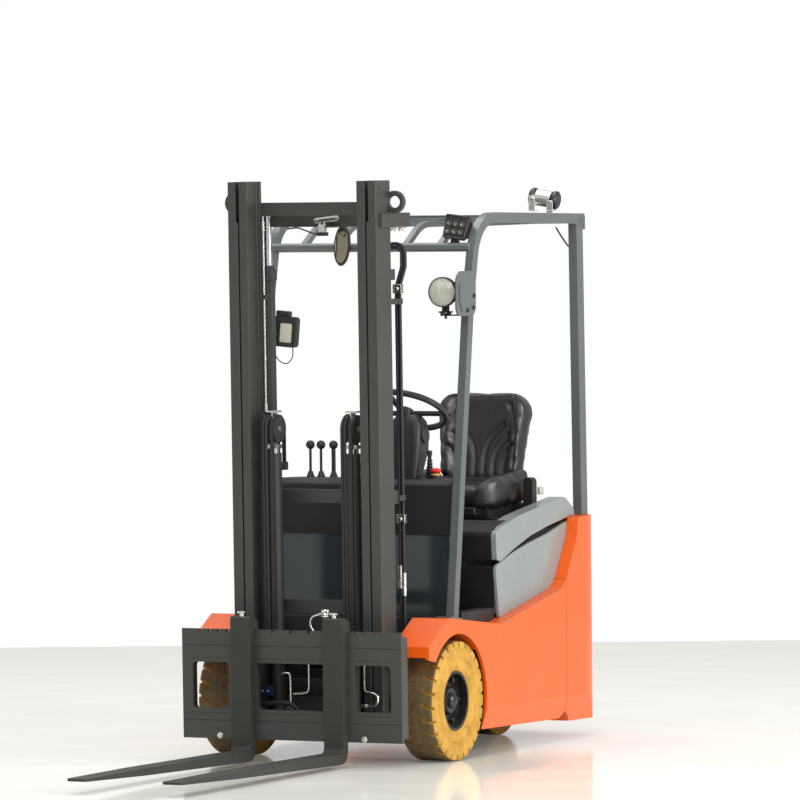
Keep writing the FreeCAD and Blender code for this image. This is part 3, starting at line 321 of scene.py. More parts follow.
def turned(build, profile, place, steps=32, close=False):
    """(along, radius) points turned about the place's z axis."""
    rings = []
    for along, radius in profile:
        if radius < 1e-6:
            rings.append([build.verts.new(place @ Vector((0, 0, along)))])
            continue
        rings.append([build.verts.new(place @ Vector((radius * math.cos(a), radius * math.sin(a), along)))
                      for a in (2 * math.pi * i / steps for i in range(steps))])
    if close:
        rings.append(rings[0])
    for low, high in zip(rings, rings[1:]):
        for i in range(steps):
            j = (i + 1) % steps
            corners = [low[i % len(low)], low[j % len(low)], high[j % len(high)], high[i % len(high)]]
            corners = [v for k, v in enumerate(corners) if v not in corners[:k]]
            if len(corners) > 2:
                build.faces.new(corners)
    return rings


def hexagon(build, place, across, height, washer=True):
    """A bolt head with its chamfer, a washer under it and a dimple on top."""
    r = across / math.sqrt(3)
    base = 0.0
    if washer:
        turned(build, [(0, 0), (0, across * 0.68), (height * 0.22, across * 0.68), (height * 0.22, 0)], place, 20)
        base = height * 0.22
    profile = [(base, r), (height * 0.8, r), (height, r * 0.86), (height, r * 0.3), (height * 0.92, 0)]
    turned(build, profile, place, 6)


def slab(build, place, size, bevel=0.0):
    """A box of a size centred on a place, edges rounded."""
    made = bmesh.ops.create_cube(build, size=1.0, matrix=place @ Matrix.Diagonal((*size, 1)))
    if bevel:
        edges = list({edge for vert in made["verts"] for edge in vert.link_edges})
        bmesh.ops.bevel(build, geom=edges, offset=bevel, segments=3, affect="EDGES", profile=0.7)


def tube(build, points, radius, sides=12):
    """A round bar through points, its ends closed."""
    points = [Vector(point) for point in points]
    rings, side = [], None
    for i, point in enumerate(points):
        ahead = (points[min(i + 1, len(points) - 1)] - points[max(i - 1, 0)]).normalized()
        side = ahead.orthogonal() if side is None else side - ahead * side.dot(ahead)
        side.normalize()
        up = ahead.cross(side)
        rings.append([build.verts.new(point + (side * math.cos(a) + up * math.sin(a)) * radius)
                      for a in (2 * math.pi * k / sides for k in range(sides))])
    for low, high in zip(rings, rings[1:]):
        for k in range(sides):
            build.faces.new((low[k], low[(k + 1) % sides], high[(k + 1) % sides], high[k]))
    build.faces.new(rings[0][::-1])
    build.faces.new(rings[-1])


def plate(build, place, outline, thick, bevel=0.0):
    """A plate of an outline in the place's x and y, half its thickness on both sides."""
    low = [build.verts.new(place @ Vector((x, y, -thick / 2))) for x, y in outline]
    high = [build.verts.new(place @ Vector((x, y, thick / 2))) for x, y in outline]
    faces = [build.faces.new(low[::-1]), build.faces.new(high)]
    for i in range(len(outline)):
        j = (i + 1) % len(outline)
        build.faces.new((low[i], low[j], high[j], high[i]))
    if bevel:
        edges = [edge for face in faces for edge in face.edges]
        bmesh.ops.bevel(build, geom=edges, offset=bevel, segments=2, affect="EDGES", profile=0.7)


def rounded(width, low, high, radii, steps=6):
    """Outline of a rounded rectangle: x from -width/2 to width/2."""
    half = width / 2
    points = []
    top, bottom = radii
    corners = ((half, high, top, 0), (-half, high, top, 90), (-half, low, bottom, 180), (half, low, bottom, 270))
    for x, z, radius, start in corners:
        cx, cz = x - math.copysign(radius, x), z - math.copysign(radius, z - (low + high) / 2)
        for i in range(steps + 1):
            a = math.radians(start + 90 * i / steps)
            points.append((cx + radius * math.cos(a), cz + radius * math.sin(a)))
    return points


# Tyres with their worn tread

def tyre(name, radius, width, bead, lugs, centre, body, finish, cad):
    """Solid tyre; the tread is cut by hooked grooves from both shoulders and two thin rings."""
    half = width / 2
    groove = radius * 0.062
    # across the section: (offset, radius, groove share, ring share)
    section = [(-half + 0.012, bead), (-half + 0.002, bead + 0.010), (-half, bead + 0.016)]
    wall = [(0.30, -0.000), (0.40, -0.003), (0.42, -0.0055), (0.47, -0.0055), (0.50, -0.003), (0.62, -0.003)]
    wall += [(0.70, -0.001), (0.78, 0.0)]
    tall = radius - bead
    section += [(-half - dent, bead + tall * share) for share, dent in wall]
    tread = [(-1.0, 0.86, 0.35), (-0.995, 0.90, 0.7), (-0.965, 0.955, 1), (-0.90, 0.988, 1), (-0.80, 1.0, 1)]
    tread += [(-0.62, 1.002, 1), (-0.50, 1.003, 1), (-0.42, 1.004, 1), (-0.37, 1.004, 0.55), (-0.35, 1.004, 0)]
    points = []
    for share, up, cut in tread:
        points.append((half * share, bead + tall * up - (0.0008 if up > 1 else 0), cut))
    mirror_points = [(-x, r, cut) for x, r, cut in reversed(points)]
    inner = [(x, r, 0) for x, r in section]
    outer_side = [(-x, r, 0) for x, r in reversed(section)]
    rows = inner + points + [(-half * 0.12, radius, 0), (half * 0.12, radius, 0)] + mirror_points + outer_side
    top = max(r for x, r, cut in rows)
    rows = [(x, r * radius / top if r > radius * 0.9 else r, cut) for x, r, cut in rows]
    pitch = 2 * math.pi / lugs
    # around one pitch: (share of the pitch, depth share)
    phases = [(0.0, 1), (0.075, 1), (0.10, 0), (0.30, 0), (0.50, 0), (0.70, 0), (0.86, 0), (0.885, 1)]
    build = bmesh.new()
    columns = []
    for lug in range(lugs):
        for phase, deep in phases:
            column = []
            for x, r, cut in rows:
                side = max(-1.0, min(1.0, x / (half * 0.35)))
                skew = 0.25 * side
                reach = max(0.0, abs(x) / half - 0.35) / 0.65
                bend = 0.30 * (1 - reach) ** 2 if abs(x) / half > 0.35 else 0.30
                skew += bend * (1 if x > 0 else -1) * min(1, abs(side))
                angle = pitch * (lug + phase + skew)
                depth = groove * cut * deep
                squeeze = 0.008 * deep * cut if abs(x) > half * 0.93 and r < radius * 0.985 else 0
                local = Vector((x - math.copysign(squeeze, x), 0, 0))
                away = r - (depth if r > radius * 0.93 else 0)
                round_at = Vector((0, away * math.sin(angle), away * math.cos(angle)))
                column.append(build.verts.new(centre + local + round_at))
            columns.append(column)
    for first, second in zip(columns, columns[1:] + columns[:1]):
        for k in range(len(rows) - 1):
            build.faces.new((first[k], second[k], second[k + 1], first[k + 1]))
    bmesh.ops.recalc_face_normals(build, faces=build.faces)
    piece = add(name, to_mesh(name, build), body, finish, 34)
    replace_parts(piece, cad)
    return piece


for side, word in ((1, "left"), (-1, "right")):
    tyre("tyre_front_" + word, 0.224, 0.150, 0.1122, 26, truck(side * 413, 0, 224), "wheel_front_" + word, TYRE,
         "front_tyre_" + word)


def rear_pair():
    for side, word in ((1, "left"), (-1, "right")):
        tyre("tyre_rear_" + word, 0.190, 0.106, 0.1002, 24, truck(side * 80, 1135, 190), "wheels_rear", TYRE_REAR,
             "rear_tyres")


rear_pair()


# Seat: swollen by cloth pressure, then seams and channels are pressed in

def seat_block(name, outline, depth, place):
    """A slab of foam from an outline in x and z (metres), its faces set by depth(x, z) pairs."""
    build = bmesh.new()
    low = [build.verts.new(place @ Vector((x, depth(x, z)[0], z))) for x, z in outline]
    high = [build.verts.new(place @ Vector((x, depth(x, z)[1], z))) for x, z in outline]
    count = len(outline)
    build.faces.new(low)
    build.faces.new(high[::-1])
    for i in range(count):
        j = (i + 1) % count
        build.faces.new((low[j], low[i], high[i], high[j]))
    bmesh.ops.recalc_face_normals(build, faces=build.faces)
    return to_mesh(name, build)


def remeshed(obj, voxel):
    modifier = obj.modifiers.new("remesh", "REMESH")
    modifier.mode = "VOXEL"
    modifier.voxel_size = voxel
    apply(obj)


def apply(obj):
    """All modifiers into the mesh."""
    graph = bpy.context.evaluated_depsgraph_get()
    mesh = bpy.data.meshes.new_from_object(obj.evaluated_get(graph))
    obj.modifiers.clear()
    old = obj.data
    obj.data = mesh
    bpy.data.meshes.remove(old)


def swell(obj, pressure, cap, voxel=0.006, frames=20):
    """Cloth under pressure from inside; each point moves at most by the cap."""
    remeshed(obj, voxel)
    before = [v.co.copy() for v in obj.data.vertices]
    cloth = obj.modifiers.new("cloth", "CLOTH")
    cloth.settings.use_pressure = True
    cloth.settings.uniform_pressure_force = pressure
    cloth.settings.quality = 4
    cloth.settings.effector_weights.gravity = 0
    cloth.collision_settings.use_collision = False
    cloth.point_cache.frame_start = 1
    cloth.point_cache.frame_end = frames
    scene = bpy.context.scene
    for f in range(1, frames + 1):
        scene.frame_set(f)
    graph = bpy.context.evaluated_depsgraph_get()
    swollen = [v.co.copy() for v in obj.evaluated_get(graph).data.vertices]
    obj.modifiers.clear()
    scene.frame_set(1)
    for v, was, now in zip(obj.data.vertices, before, swollen):
        move = now - was
        if move.length > cap:
            move *= cap / move.length
        v.co = was + move


def relax(mesh, rounds, share=0.5):
    """Evens a mesh out by moving each point towards its neighbours' middle."""
    build = bmesh.new()
    build.from_mesh(mesh)
    for _ in range(rounds):
        bmesh.ops.smooth_vert(build, verts=build.verts, factor=share,
                              use_axis_x=True, use_axis_y=True, use_axis_z=True)
    build.to_mesh(mesh)
    build.free()


def to_line(point, line):
    """Distance from a 2D point to a polyline."""
    best = 1e9
    for (ax, ay), (bx, by) in zip(line, line[1:]):
        dx, dy = bx - ax, by - ay
        t = ((point[0] - ax) * dx + (point[1] - ay) * dy) / (dx * dx + dy * dy)
        t = max(0.0, min(1.0, t))
        best = min(best, math.hypot(point[0] - ax - t * dx, point[1] - ay - t * dy))
    return best


def smooth_line(points, steps=8):
    """A Catmull-Rom line through the points."""
    result = []
    for i in range(len(points) - 1):
        p0 = points[max(i - 1, 0)]
        p1, p2 = points[i], points[i + 1]
        p3 = points[min(i + 2, len(points) - 1)]
        for k in range(steps):
            t = k / steps
            result.append(tuple(
                0.5 * (2 * b + (c - a) * t + (2 * a - 5 * b + 4 * c - d) * t * t + (3 * b - a - 3 * c + d) * t ** 3)
                for a, b, c, d in zip(p0, p1, p2, p3)))
    result.append(tuple(points[-1]))
    return result


def finished(obj):
    for polygon in obj.data.polygons:
        polygon.use_smooth = True
    obj.data.materials.clear()
    obj.data.materials.append(VINYL)


def seat():
    # backrest: z up from its lower edge, leaning back
    lean_back = math.radians(10)
    origin = truck(100, 1040, 975)
    place = Matrix.Translation(origin) @ Matrix.Rotation(-lean_back, 4, "X")
    outline = [(x * (0.84 + 0.16 * min(1, z / 0.26)), z) for x, z in rounded(0.380, 0.0, 0.365, (0.085, 0.05), 10)]
    mesh = seat_block("seat_backrest", outline, lambda x, z: (-0.022, 0.042), place)
    back = bpy.data.objects.new("seat_backrest", mesh)
    bpy.context.scene.collection.objects.link(back)
    swell(back, 2.5, 0.010)
    relax(back.data, 8)
    routes = (
        ((0.145, 0.02), (0.150, 0.18), (0.142, 0.25), (0.115, 0.315)),
        ((0.020, 0.02), (0.022, 0.12), (0.045, 0.18), (0.10, 0.235)),
        ((0.060, 0.02), (0.062, 0.10), (0.080, 0.145), (0.125, 0.20)),
        ((0.100, 0.03), (0.102, 0.08), (0.115, 0.12), (0.138, 0.15)),
    )
    channels = [smooth_line([(side * x, z) for x, z in route]) for side in (1, -1) for route in routes]
    inverse = place.inverted()
    for v in back.data.vertices:
        local = inverse @ v.co
        facing = max(0.0, min(1.0, (0.030 - local.y) / 0.045))
        if facing == 0.0:
            continue
        x, z = local.x, local.z
        bolster = max(0.0, (abs(x) - 0.118) / 0.062)
        push = -0.034 * math.sin(min(1.0, bolster) * math.pi * 0.62) * min(1, z / 0.05)
        press = sum(0.014 * math.exp(-(to_line((x, z), line) / 0.0075) ** 2) for line in channels)
        press = min(press, 0.015)
        local.y += facing * push + (press if facing > 0.7 else 0)
        v.co = place @ local
    relax(back.data, 2)
    finished(back)
    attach(back, "hood")
    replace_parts(back, "seat_back")

    # cushion: y forwards is -Y
    origin = truck(100, 850, 915)
    place = Matrix.Translation(origin) @ Matrix.Rotation(math.radians(4), 4, "X")
    outline = rounded(0.455, -0.19, 0.19, (0.06, 0.09))
    turn = Matrix(((1, 0, 0, 0), (0, 0, 1, 0), (0, -1, 0, 0), (0, 0, 0, 1)))
    mesh = seat_block("seat_pan", outline, lambda x, z: (-0.078, 0.000), place @ turn)
    pan = bpy.data.objects.new("seat_pan", mesh)
    bpy.context.scene.collection.objects.link(pan)
    swell(pan, 2.5, 0.012)
    relax(pan.data, 8)
    inverse = place.inverted()
    lines = [smooth_line([(side * 0.150, -0.17), (side * 0.156, 0.0), (side * 0.150, 0.17)]) for side in (1, -1)]
    lines.append([(-0.15, -0.075), (0.15, -0.075)])
    lines.append([(-0.15, 0.06), (0.15, 0.06)])
    for v in pan.data.vertices:
        local = inverse @ v.co
        facing = max(0.0, min(1.0, (local.z + 0.010) / 0.070))
        if facing == 0.0:
            continue
        bolster = max(0.0, (abs(local.x) - 0.15) / 0.075)
        lift = 0.034 * math.sin(min(1.0, bolster) * math.pi * 0.6)
        press = sum(0.009 * math.exp(-(to_line((local.x, local.y), line) / 0.006) ** 2) for line in lines)
        local.z += facing * lift - (min(press, 0.010) if facing > 0.7 else 0)
        v.co = place @ local
    relax(pan.data, 2)
    finished(pan)
    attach(pan, "hood")
    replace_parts(pan, "seat_cushion")


seat()


# Fasteners

def fasteners():
    for side, word in ((1, "left"), (-1, "right")):
        part = bmesh.new()
        for k in range(5):
            angle = 2 * math.pi * (k + 0.25) / 5
            x = side * (488 - 46)
            place = frame_at(truck(x, 78 * math.sin(angle), 224 + 78 * math.cos(angle)), (side, 0, 0))
            hexagon(part, place, 0.019, 0.014)
        cap = frame_at(truck(side * 459, 0, 224), (side, 0, 0))
        turned(part, [(0, 0.030), (0.006, 0.030), (0.012, 0.026), (0.018, 0.016), (0.020, 0)], cap, 36)
        add("wheel_nuts_" + word, to_mesh("wheel_nuts_" + word, part), "wheel_front_" + word, RIM)
    part = bmesh.new()
    for x in (-298, 298):
        hexagon(part, frame_at(mast(x, -408, 112), (0, -1, 0)), 0.017, 0.010)
    add("bar_bolts", to_mesh("bar_bolts", part), "side_shifter", ZINC)


fasteners()


# Lamps, mirror and terminal on the guard

def upright_frame(x, y, z, tilt=0.0):
    """A place on the guard whose x runs to the left, y up and z to the front."""
    turn = Matrix(((1, 0, 0, 0), (0, 0, -1, 0), (0, 1, 0, 0), (0, 0, 0, 1)))
    return Matrix.Translation(truck(x, y, z)) @ Matrix.Rotation(math.radians(tilt), 4, "X") @ turn


def lamp_pieces():
    shell = bmesh.new()
    axis = frame_at(truck(362, 150, 1739), (0, 1, 0))
    turned(shell, [(0.006, 0), (0.006, 0.0535), (-0.001, 0.0540), (-0.002, 0.0550), (0.001, 0.0565), (0.020, 0.0565),
                   (0.040, 0.051), (0.056, 0.040), (0.066, 0.022), (0.068, 0)], axis, 48)
    slab(shell, Matrix.Translation(truck(362, 184, 1676)), (0.022, 0.022, 0.024), 0.002)
    slab(shell, Matrix.Translation(truck(362, 184, 1664)), (0.044, 0.034, 0.006), 0.001)
    slab(shell, Matrix.Translation(truck(400, 184, 1652)), (0.078, 0.030, 0.005), 0.001)
    for dx in (-0.014, 0.014):
        slab(shell, Matrix.Translation(truck(362, 184, 1658) + Vector((dx, 0, 0))), (0.005, 0.028, 0.018), 0.001)
    turned(shell, [(0, 0), (0, 0.005), (0.022, 0.005), (0.022, 0)], frame_at(truck(362, 184, 1660), (0, 0, -1)), 10)
    housing = add("work_lamp", to_mesh("work_lamp", shell), "truck", LAMP)
    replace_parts(housing, "lamps")

    build = bmesh.new()
    rings = []
    for i in range(19):
        radius = 0.0535 * i / 18
        ring = []
        for k in range(1 if i == 0 else 96):
            a = 2 * math.pi * k / 96
            x, y = radius * math.cos(a), radius * math.sin(a)
            flute = 0.0011 * math.cos(2 * math.pi * (x + 2.5 * y * y) / 0.0085) * min(1, (18 - i) / 3)
            ring.append(build.verts.new(axis @ Vector((x, y, 0.003 - 0.020 * (1 - (radius / 0.0535) ** 2) + flute))))
        rings.append(ring)
    for low, high in zip(rings, rings[1:]):
        for k in range(96):
            corners = [low[k % len(low)], high[k], high[(k + 1) % 96], low[(k + 1) % len(low)]]
            build.faces.new([v for n, v in enumerate(corners) if v not in corners[:n]])
    bmesh.ops.recalc_face_normals(build, faces=build.faces)
    add("work_lamp_lens", to_mesh("work_lamp_lens", build), "truck", LENS)

    build = bmesh.new()
    side = Matrix(((0, 0, 1, 0), (1, 0, 0, 0), (0, 1, 0, 0), (0, 0, 0, 1)))
    place = Matrix.Translation(truck(438.4, 196, 1731)) @ side
    outline = rounded(0.170, -0.082, 0.086, (0.045, 0.035), 8)
    plate(build, place, outline, 0.006, 0.001)
    add("work_lamp_bracket", to_mesh("work_lamp_bracket", build), "truck", GUARD)
    build = bmesh.new()
    # painted shade: a dark bar along the bracket's slot stands in for the shade inside the slot
    slot = smooth_line([(-0.058, 0.040), (-0.062, -0.010), (-0.052, -0.045), (-0.036, -0.066)], 6)
    tube(build, [place @ Vector((x, y, 0.0032)) for x, y in slot], 0.0024, 8)
    for x, y in ((0.068, -0.008), (0.062, -0.052), (0.010, -0.062)):
        hexagon(build, place @ Matrix.Translation((x, y, 0.003)), 0.013, 0.006)
    add("bracket_slot_shade_and_bolts", to_mesh("bracket_slot_shade_and_bolts", build), "truck", LAMP)

    # flat lamp with six reflectors and cooling fins behind
    build = bmesh.new()
    front = upright_frame(354, 302, 1978, -14) @ Matrix.Rotation(math.radians(-7), 4, "Z")
    body = [(-0.052, 0.040), (-0.046, 0.048), (0.046, 0.048), (0.052, 0.040), (0.046, -0.040), (0.038, -0.046),
            (-0.038, -0.046), (-0.046, -0.040)]
    plate(build, front, body, 0.020, 0.003)
    for i in range(9):
        plate(build, front @ Matrix.Translation((0, 0, -0.026)) @ Matrix.Rotation(math.radians(90), 4, "Y")
              @ Matrix.Translation((0, 0, -0.040 + 0.010 * i)), [(-0.016, -0.036), (0.016, -0.030), (0.016, 0.030), (-0.016, 0.042)], 0.003)
    rim = [(x * 0.93, y * 0.9) for x, y in body]
    for (x0, y0), (x1, y1) in zip(rim, rim[1:] + rim[:1]):
        tube(build, [front @ Vector((x0, y0, 0.010)), front @ Vector((x1, y1, 0.010))], 0.003, 6)
    slab(build, front @ Matrix.Translation((0, -0.054, -0.012)), (0.034, 0.016, 0.012), 0.002)
    slab(build, front @ Matrix.Translation((0, -0.062, -0.012)), (0.050, 0.006, 0.020), 0.001)
    turned(build, [(0, 0), (0, 0.006), (0.014, 0.006), (0.018, 0.003), (0.018, 0)],
           frame_at(truck(354, 316, 1906), (0, 0, -1)), 10)
    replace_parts(add("led_lamp", to_mesh("led_lamp", build), "truck", LAMP), "lamps")
    build = bmesh.new()
    for x in (-0.027, 0, 0.027):
        for y in (-0.016, 0.014):
            cup = front @ Matrix.Translation((x * (1 + y), y, 0.0100))
            turned(build, [(0.0004, 0), (0.0012, 0.003), (0.0003, 0.004), (0.0025, 0.0105), (0.0005, 0.0115),
                           (0, 0.0115)], cup, 20)
    add("led_reflectors", to_mesh("led_reflectors", build), "truck", STEEL)

    # rear lamp: a drum between two plated stirrups
    build = bmesh.new()
    drum = frame_at(truck(222, 1258, 2092), (1, 0.05, -0.16))
    turned(build, [(0, 0), (0, 0.030), (0.006, 0.036), (0.018, 0.036), (0.024, 0.030), (0.092, 0.030), (0.098, 0.036),
                   (0.110, 0.036), (0.116, 0.028), (0.116, 0)], drum, 36)
    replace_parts(add("rear_lamp", to_mesh("rear_lamp", build), "truck", LAMP), "lamps")
    build = bmesh.new()
    turned(build, [(0.028, 0.0305), (0.028, 0.0325), (0.088, 0.0325), (0.088, 0.0305)], drum, 36, close=True)
    for x, lift in ((242, 0), (318, -14)):
        slab(build, Matrix.Translation(truck(x, 1221, 2066 + lift)), (0.026, 0.003, 0.062 + lift / 1000), 0.001)
        turned(build, [(0, 0), (0, 0.008), (0.005, 0.008), (0.007, 0)],
               frame_at(truck(x, 1219, 2084 + lift), (0, -1, 0)), 6)
        slab(build, Matrix.Translation(truck(x, 1232, 2036)), (0.030, 0.028, 0.003), 0.001)
    add("rear_lamp_stirrups", to_mesh("rear_lamp_stirrups", build), "truck", ZINC)
    build = bmesh.new()
    for side in (1, -1):
        slab(build, Matrix.Translation(truck(side * 435.2, 1260, 1992)), (0.0012, 0.050, 0.036), 0.0004)
    add("corner_lenses", to_mesh("corner_lenses", build), "truck", BATTERY)


def mirror_pieces():
    place = upright_frame(-100, 250, 1914) @ Matrix.Rotation(math.radians(-5), 4, "Z")
    place = place @ Matrix.Rotation(math.radians(14), 4, "Y")
    outline = [(0.031 * math.cos(a), 0.078 * math.sin(a)) for a in (2 * math.pi * k / 40 for k in range(40))]
    build = bmesh.new()
    plate(build, place, outline, 0.016, 0.005)
    tube(build, [place @ Vector((0.004, 0.050, -0.008)), truck(-104, 268, 1985), truck(-100, 280, 2010)], 0.006)
    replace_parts(add("mirror_shell", to_mesh("mirror_shell", build), "truck", LAMP), "mirror")
    build = bmesh.new()
    rings = [[build.verts.new(place @ Vector((0, 0, 0.0125)))]]
    for share in (0.3, 0.6, 0.84):
        rings.append([build.verts.new(place @ Vector((x * share - 0.002, y * share, 0.0125 - 0.004 * share * share)))
                      for x, y in outline])
    for low, high in zip(rings, rings[1:]):
        for k in range(40):
            corners = [low[k % len(low)], high[k], high[(k + 1) % 40], low[(k + 1) % len(low)]]
            build.faces.new([v for n, v in enumerate(corners) if v not in corners[:n]])
    add("mirror_glass", to_mesh("mirror_glass", build), "truck", GLASS)


def terminal_pieces():
    place = upright_frame(-356, 278, 1588) @ Matrix.Rotation(math.radians(-5), 4, "Z")
    build = bmesh.new()
    plate(build, place, rounded(0.098, -0.058, 0.058, (0.012, 0.010)), 0.034, 0.004)
    plate(build, place @ Matrix.Translation((0, 0, 0.017)), rounded(0.084, -0.050, 0.046, (0.010, 0.008)),
          0.006, 0.001)
    slab(build, place @ Matrix.Translation((-0.014, 0.068, -0.002)), (0.058, 0.020, 0.026), 0.006)
    slab(build, place @ Matrix.Translation((-0.052, -0.010, -0.004)), (0.020, 0.050, 0.016), 0.003)
    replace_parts(add("terminal_case", to_mesh("terminal_case", build), "truck", BLACK), "terminal")
    build = bmesh.new()
    plate(build, place @ Matrix.Translation((0.010, -0.004, 0.0208)),
          rounded(0.048, -0.036, 0.036, (0.004, 0.004)), 0.0016)
    add("terminal_plate", to_mesh("terminal_plate", build), "truck", BEIGE)
    build = bmesh.new()
    loop = [(-330, 280, 1530), (-328, 280, 1508), (-334, 280, 1484), (-356, 280, 1466), (-384, 278, 1476),
            (-402, 276, 1500)]
    tube(build, smooth_line([tuple(truck(*p)) for p in loop], 6), 0.0022, 8)
    roof = [(372, 1160, 1972), (388, 1170, 1940), (398, 1188, 1915), (402, 1208, 1898)]
    tube(build, smooth_line([tuple(truck(*p)) for p in roof], 6), 0.0035, 8)
    add("guard_cables", to_mesh("guard_cables", build), "truck", HOSE)


lamp_pieces()
mirror_pieces()
terminal_pieces()


# Driver's place: column cover, stop button, lever boot, mats, painted slot shade, seat controls

def column_cover():
    build = bmesh.new()
    # height, left and right edge, front and rear edge
    levels = ((1037, 74, 196, 246, 326), (1090, 70, 202, 250, 346), (1140, 68, 206, 256, 366), (1205, 70, 206, 262, 372),
              (1246, 76, 198, 276, 370), (1274, 92, 180, 300, 356))
    rings = []
    for z, left, right, front, rear in levels:
        width, depth = (right - left) / 1000, (rear - front) / 1000
        middle = truck((left + right) / 2, (front + rear) / 2, z)
        outline = rounded(width, -depth / 2, depth / 2, (0.022, 0.022), 4)
        rings.append([build.verts.new(middle + Vector((x, y, 0))) for x, y in outline])
    for low, high in zip(rings, rings[1:]):
        for k in range(len(low)):
            j = (k + 1) % len(low)
            build.faces.new((low[k], low[j], high[j], high[k]))
    build.faces.new(rings[0][::-1])
    build.faces.new(rings[-1])
    disc = frame_at(truck(205, 316, 1194), (1, 0, 0))
    turned(build, [(0, 0.029), (0.008, 0.029), (0.010, 0.026), (0.010, 0.017), (0.008, 0.015), (0.008, 0)], disc, 36)
    cover = add("column_cover", to_mesh("column_cover", build), "truck", BLACK, 24)
    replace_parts(cover, "steering_column")
    build = bmesh.new()
    boot = [(0, 0.015)]
    for i in range(6):
        boot += [(0.006 + 0.012 * i, 0.016 - 0.001 * i), (0.012 + 0.012 * i, 0.011 - 0.0008 * i)]
    boot += [(0.082, 0.008), (0.088, 0.010), (0.100, 0.010), (0.104, 0.006), (0.104, 0)]
    turned(build, boot, frame_at(truck(234, 300, 1036.5), (0, 0, 1)), 20)
    add("lever_boot", to_mesh("lever_boot", build), "truck", HOSE)
    build = bmesh.new()
    axis = frame_at(truck(264, 288, 1044), (0, 0, 1))
    turned(build, [(0.010, 0), (0.010, 0.012), (0.016, 0.020), (0.022, 0.021), (0.027, 0.018), (0.030, 0.010),
                   (0.031, 0)], axis, 32)
    add("stop_button", to_mesh("stop_button", build), "truck", RED)
    build = bmesh.new()
    turned(build, [(-0.006, 0), (-0.006, 0.018), (0.006, 0.018), (0.010, 0.014), (0.010, 0)], axis, 32)
    add("stop_collar", to_mesh("stop_collar", build), "truck", YELLOW)


def mats():
    """Black covering of the lid's front and top and its tray, a dark sheet on the hood's front, and painted shade at
    the bay sides: dark plates that fill the slots between lid and side covers.
    """
    half = 0.445
    build = bmesh.new()
    line = [(437.4, 722), (430.6, 812), (434.5, 825), (444, 833), (484, 848.6), (562, 865.4)]
    for low, high in zip(line, line[1:]):
        a, b = truck(0, *low), truck(0, *high)
        out = Vector((0, -(b.z - a.z), b.y - a.y)).normalized() * 0.0012
        inset = half - 0.02
        corners = [p + Vector((x, 0, 0)) for p, x in ((a, -inset), (a, inset), (b, inset), (b, -inset))]
        under = [build.verts.new(c) for c in corners]
        over = [build.verts.new(c + out) for c in corners]
        build.faces.new(over)
        build.faces.new(under[::-1])
        for i in range(4):
            build.faces.new((under[i], under[(i + 1) % 4], over[(i + 1) % 4], over[i]))
    slab(build, Matrix.Translation(truck(0, 860, 850.1)), (2 * half - 0.124, 0.596, 0.0003))
    add("lid_mats", to_mesh("lid_mats", build), "hood", COWL)
    build = bmesh.new()
    slab(build, Matrix.Translation(truck(0, 439.6, 610)), (2 * half - 0.026, 0.0006, 0.178))
    # painted shade: dark plates just inside the side covers, under the lid's lower edge, darken the slots between lid
    # and side covers
    line = [(470, 620), (470, 700), (585, 738), (738, 784), (897, 815), (1060, 836), (1060, 620)]
    for side in (1, -1):
        turn = Matrix(((0, 0, 1, 0), (1, 0, 0, 0), (0, 1, 0, 0), (0, 0, 0, 1)))
        place = Matrix.Translation(truck(side * (half * 1000 - 17), 0, 0)) @ turn
        plate(build, place, [(y / 1000, z / 1000) for y, z in line], 0.002)
    add("hood_front_and_slot_shade", to_mesh("hood_front_and_slot_shade", build), "truck", COWL)


def seat_controls():
    build = bmesh.new()
    slab(build, Matrix.Translation(truck(100, 790, 893)), (0.30, 0.26, 0.030), 0.008)
    for i in range(5):
        slab(build, Matrix.Translation(truck(100, 668, 874 + 7 * i)), (0.34, 0.006, 0.0035), 0.001)
    tube(build, [truck(300, 700, 866), truck(318, 712, 862), truck(330, 760, 862)], 0.005)
    add("seat_bellows", to_mesh("seat_bellows", build), "hood", BLACK)
    build = bmesh.new()
    slab(build, Matrix.Translation(truck(331, 772, 864)) @ Matrix.Rotation(0.2, 4, "Z"), (0.016, 0.046, 0.014), 0.004)
    slab(build, Matrix.Translation(truck(352, 1040, 958)), (0.014, 0.034, 0.030), 0.005)
    add("seat_knobs", to_mesh("seat_knobs", build), "hood", BEIGE)


column_cover()
mats()
seat_controls()


# Mast details: clips, sleeves, tie plate, sensor; carriage pipes; fork pins

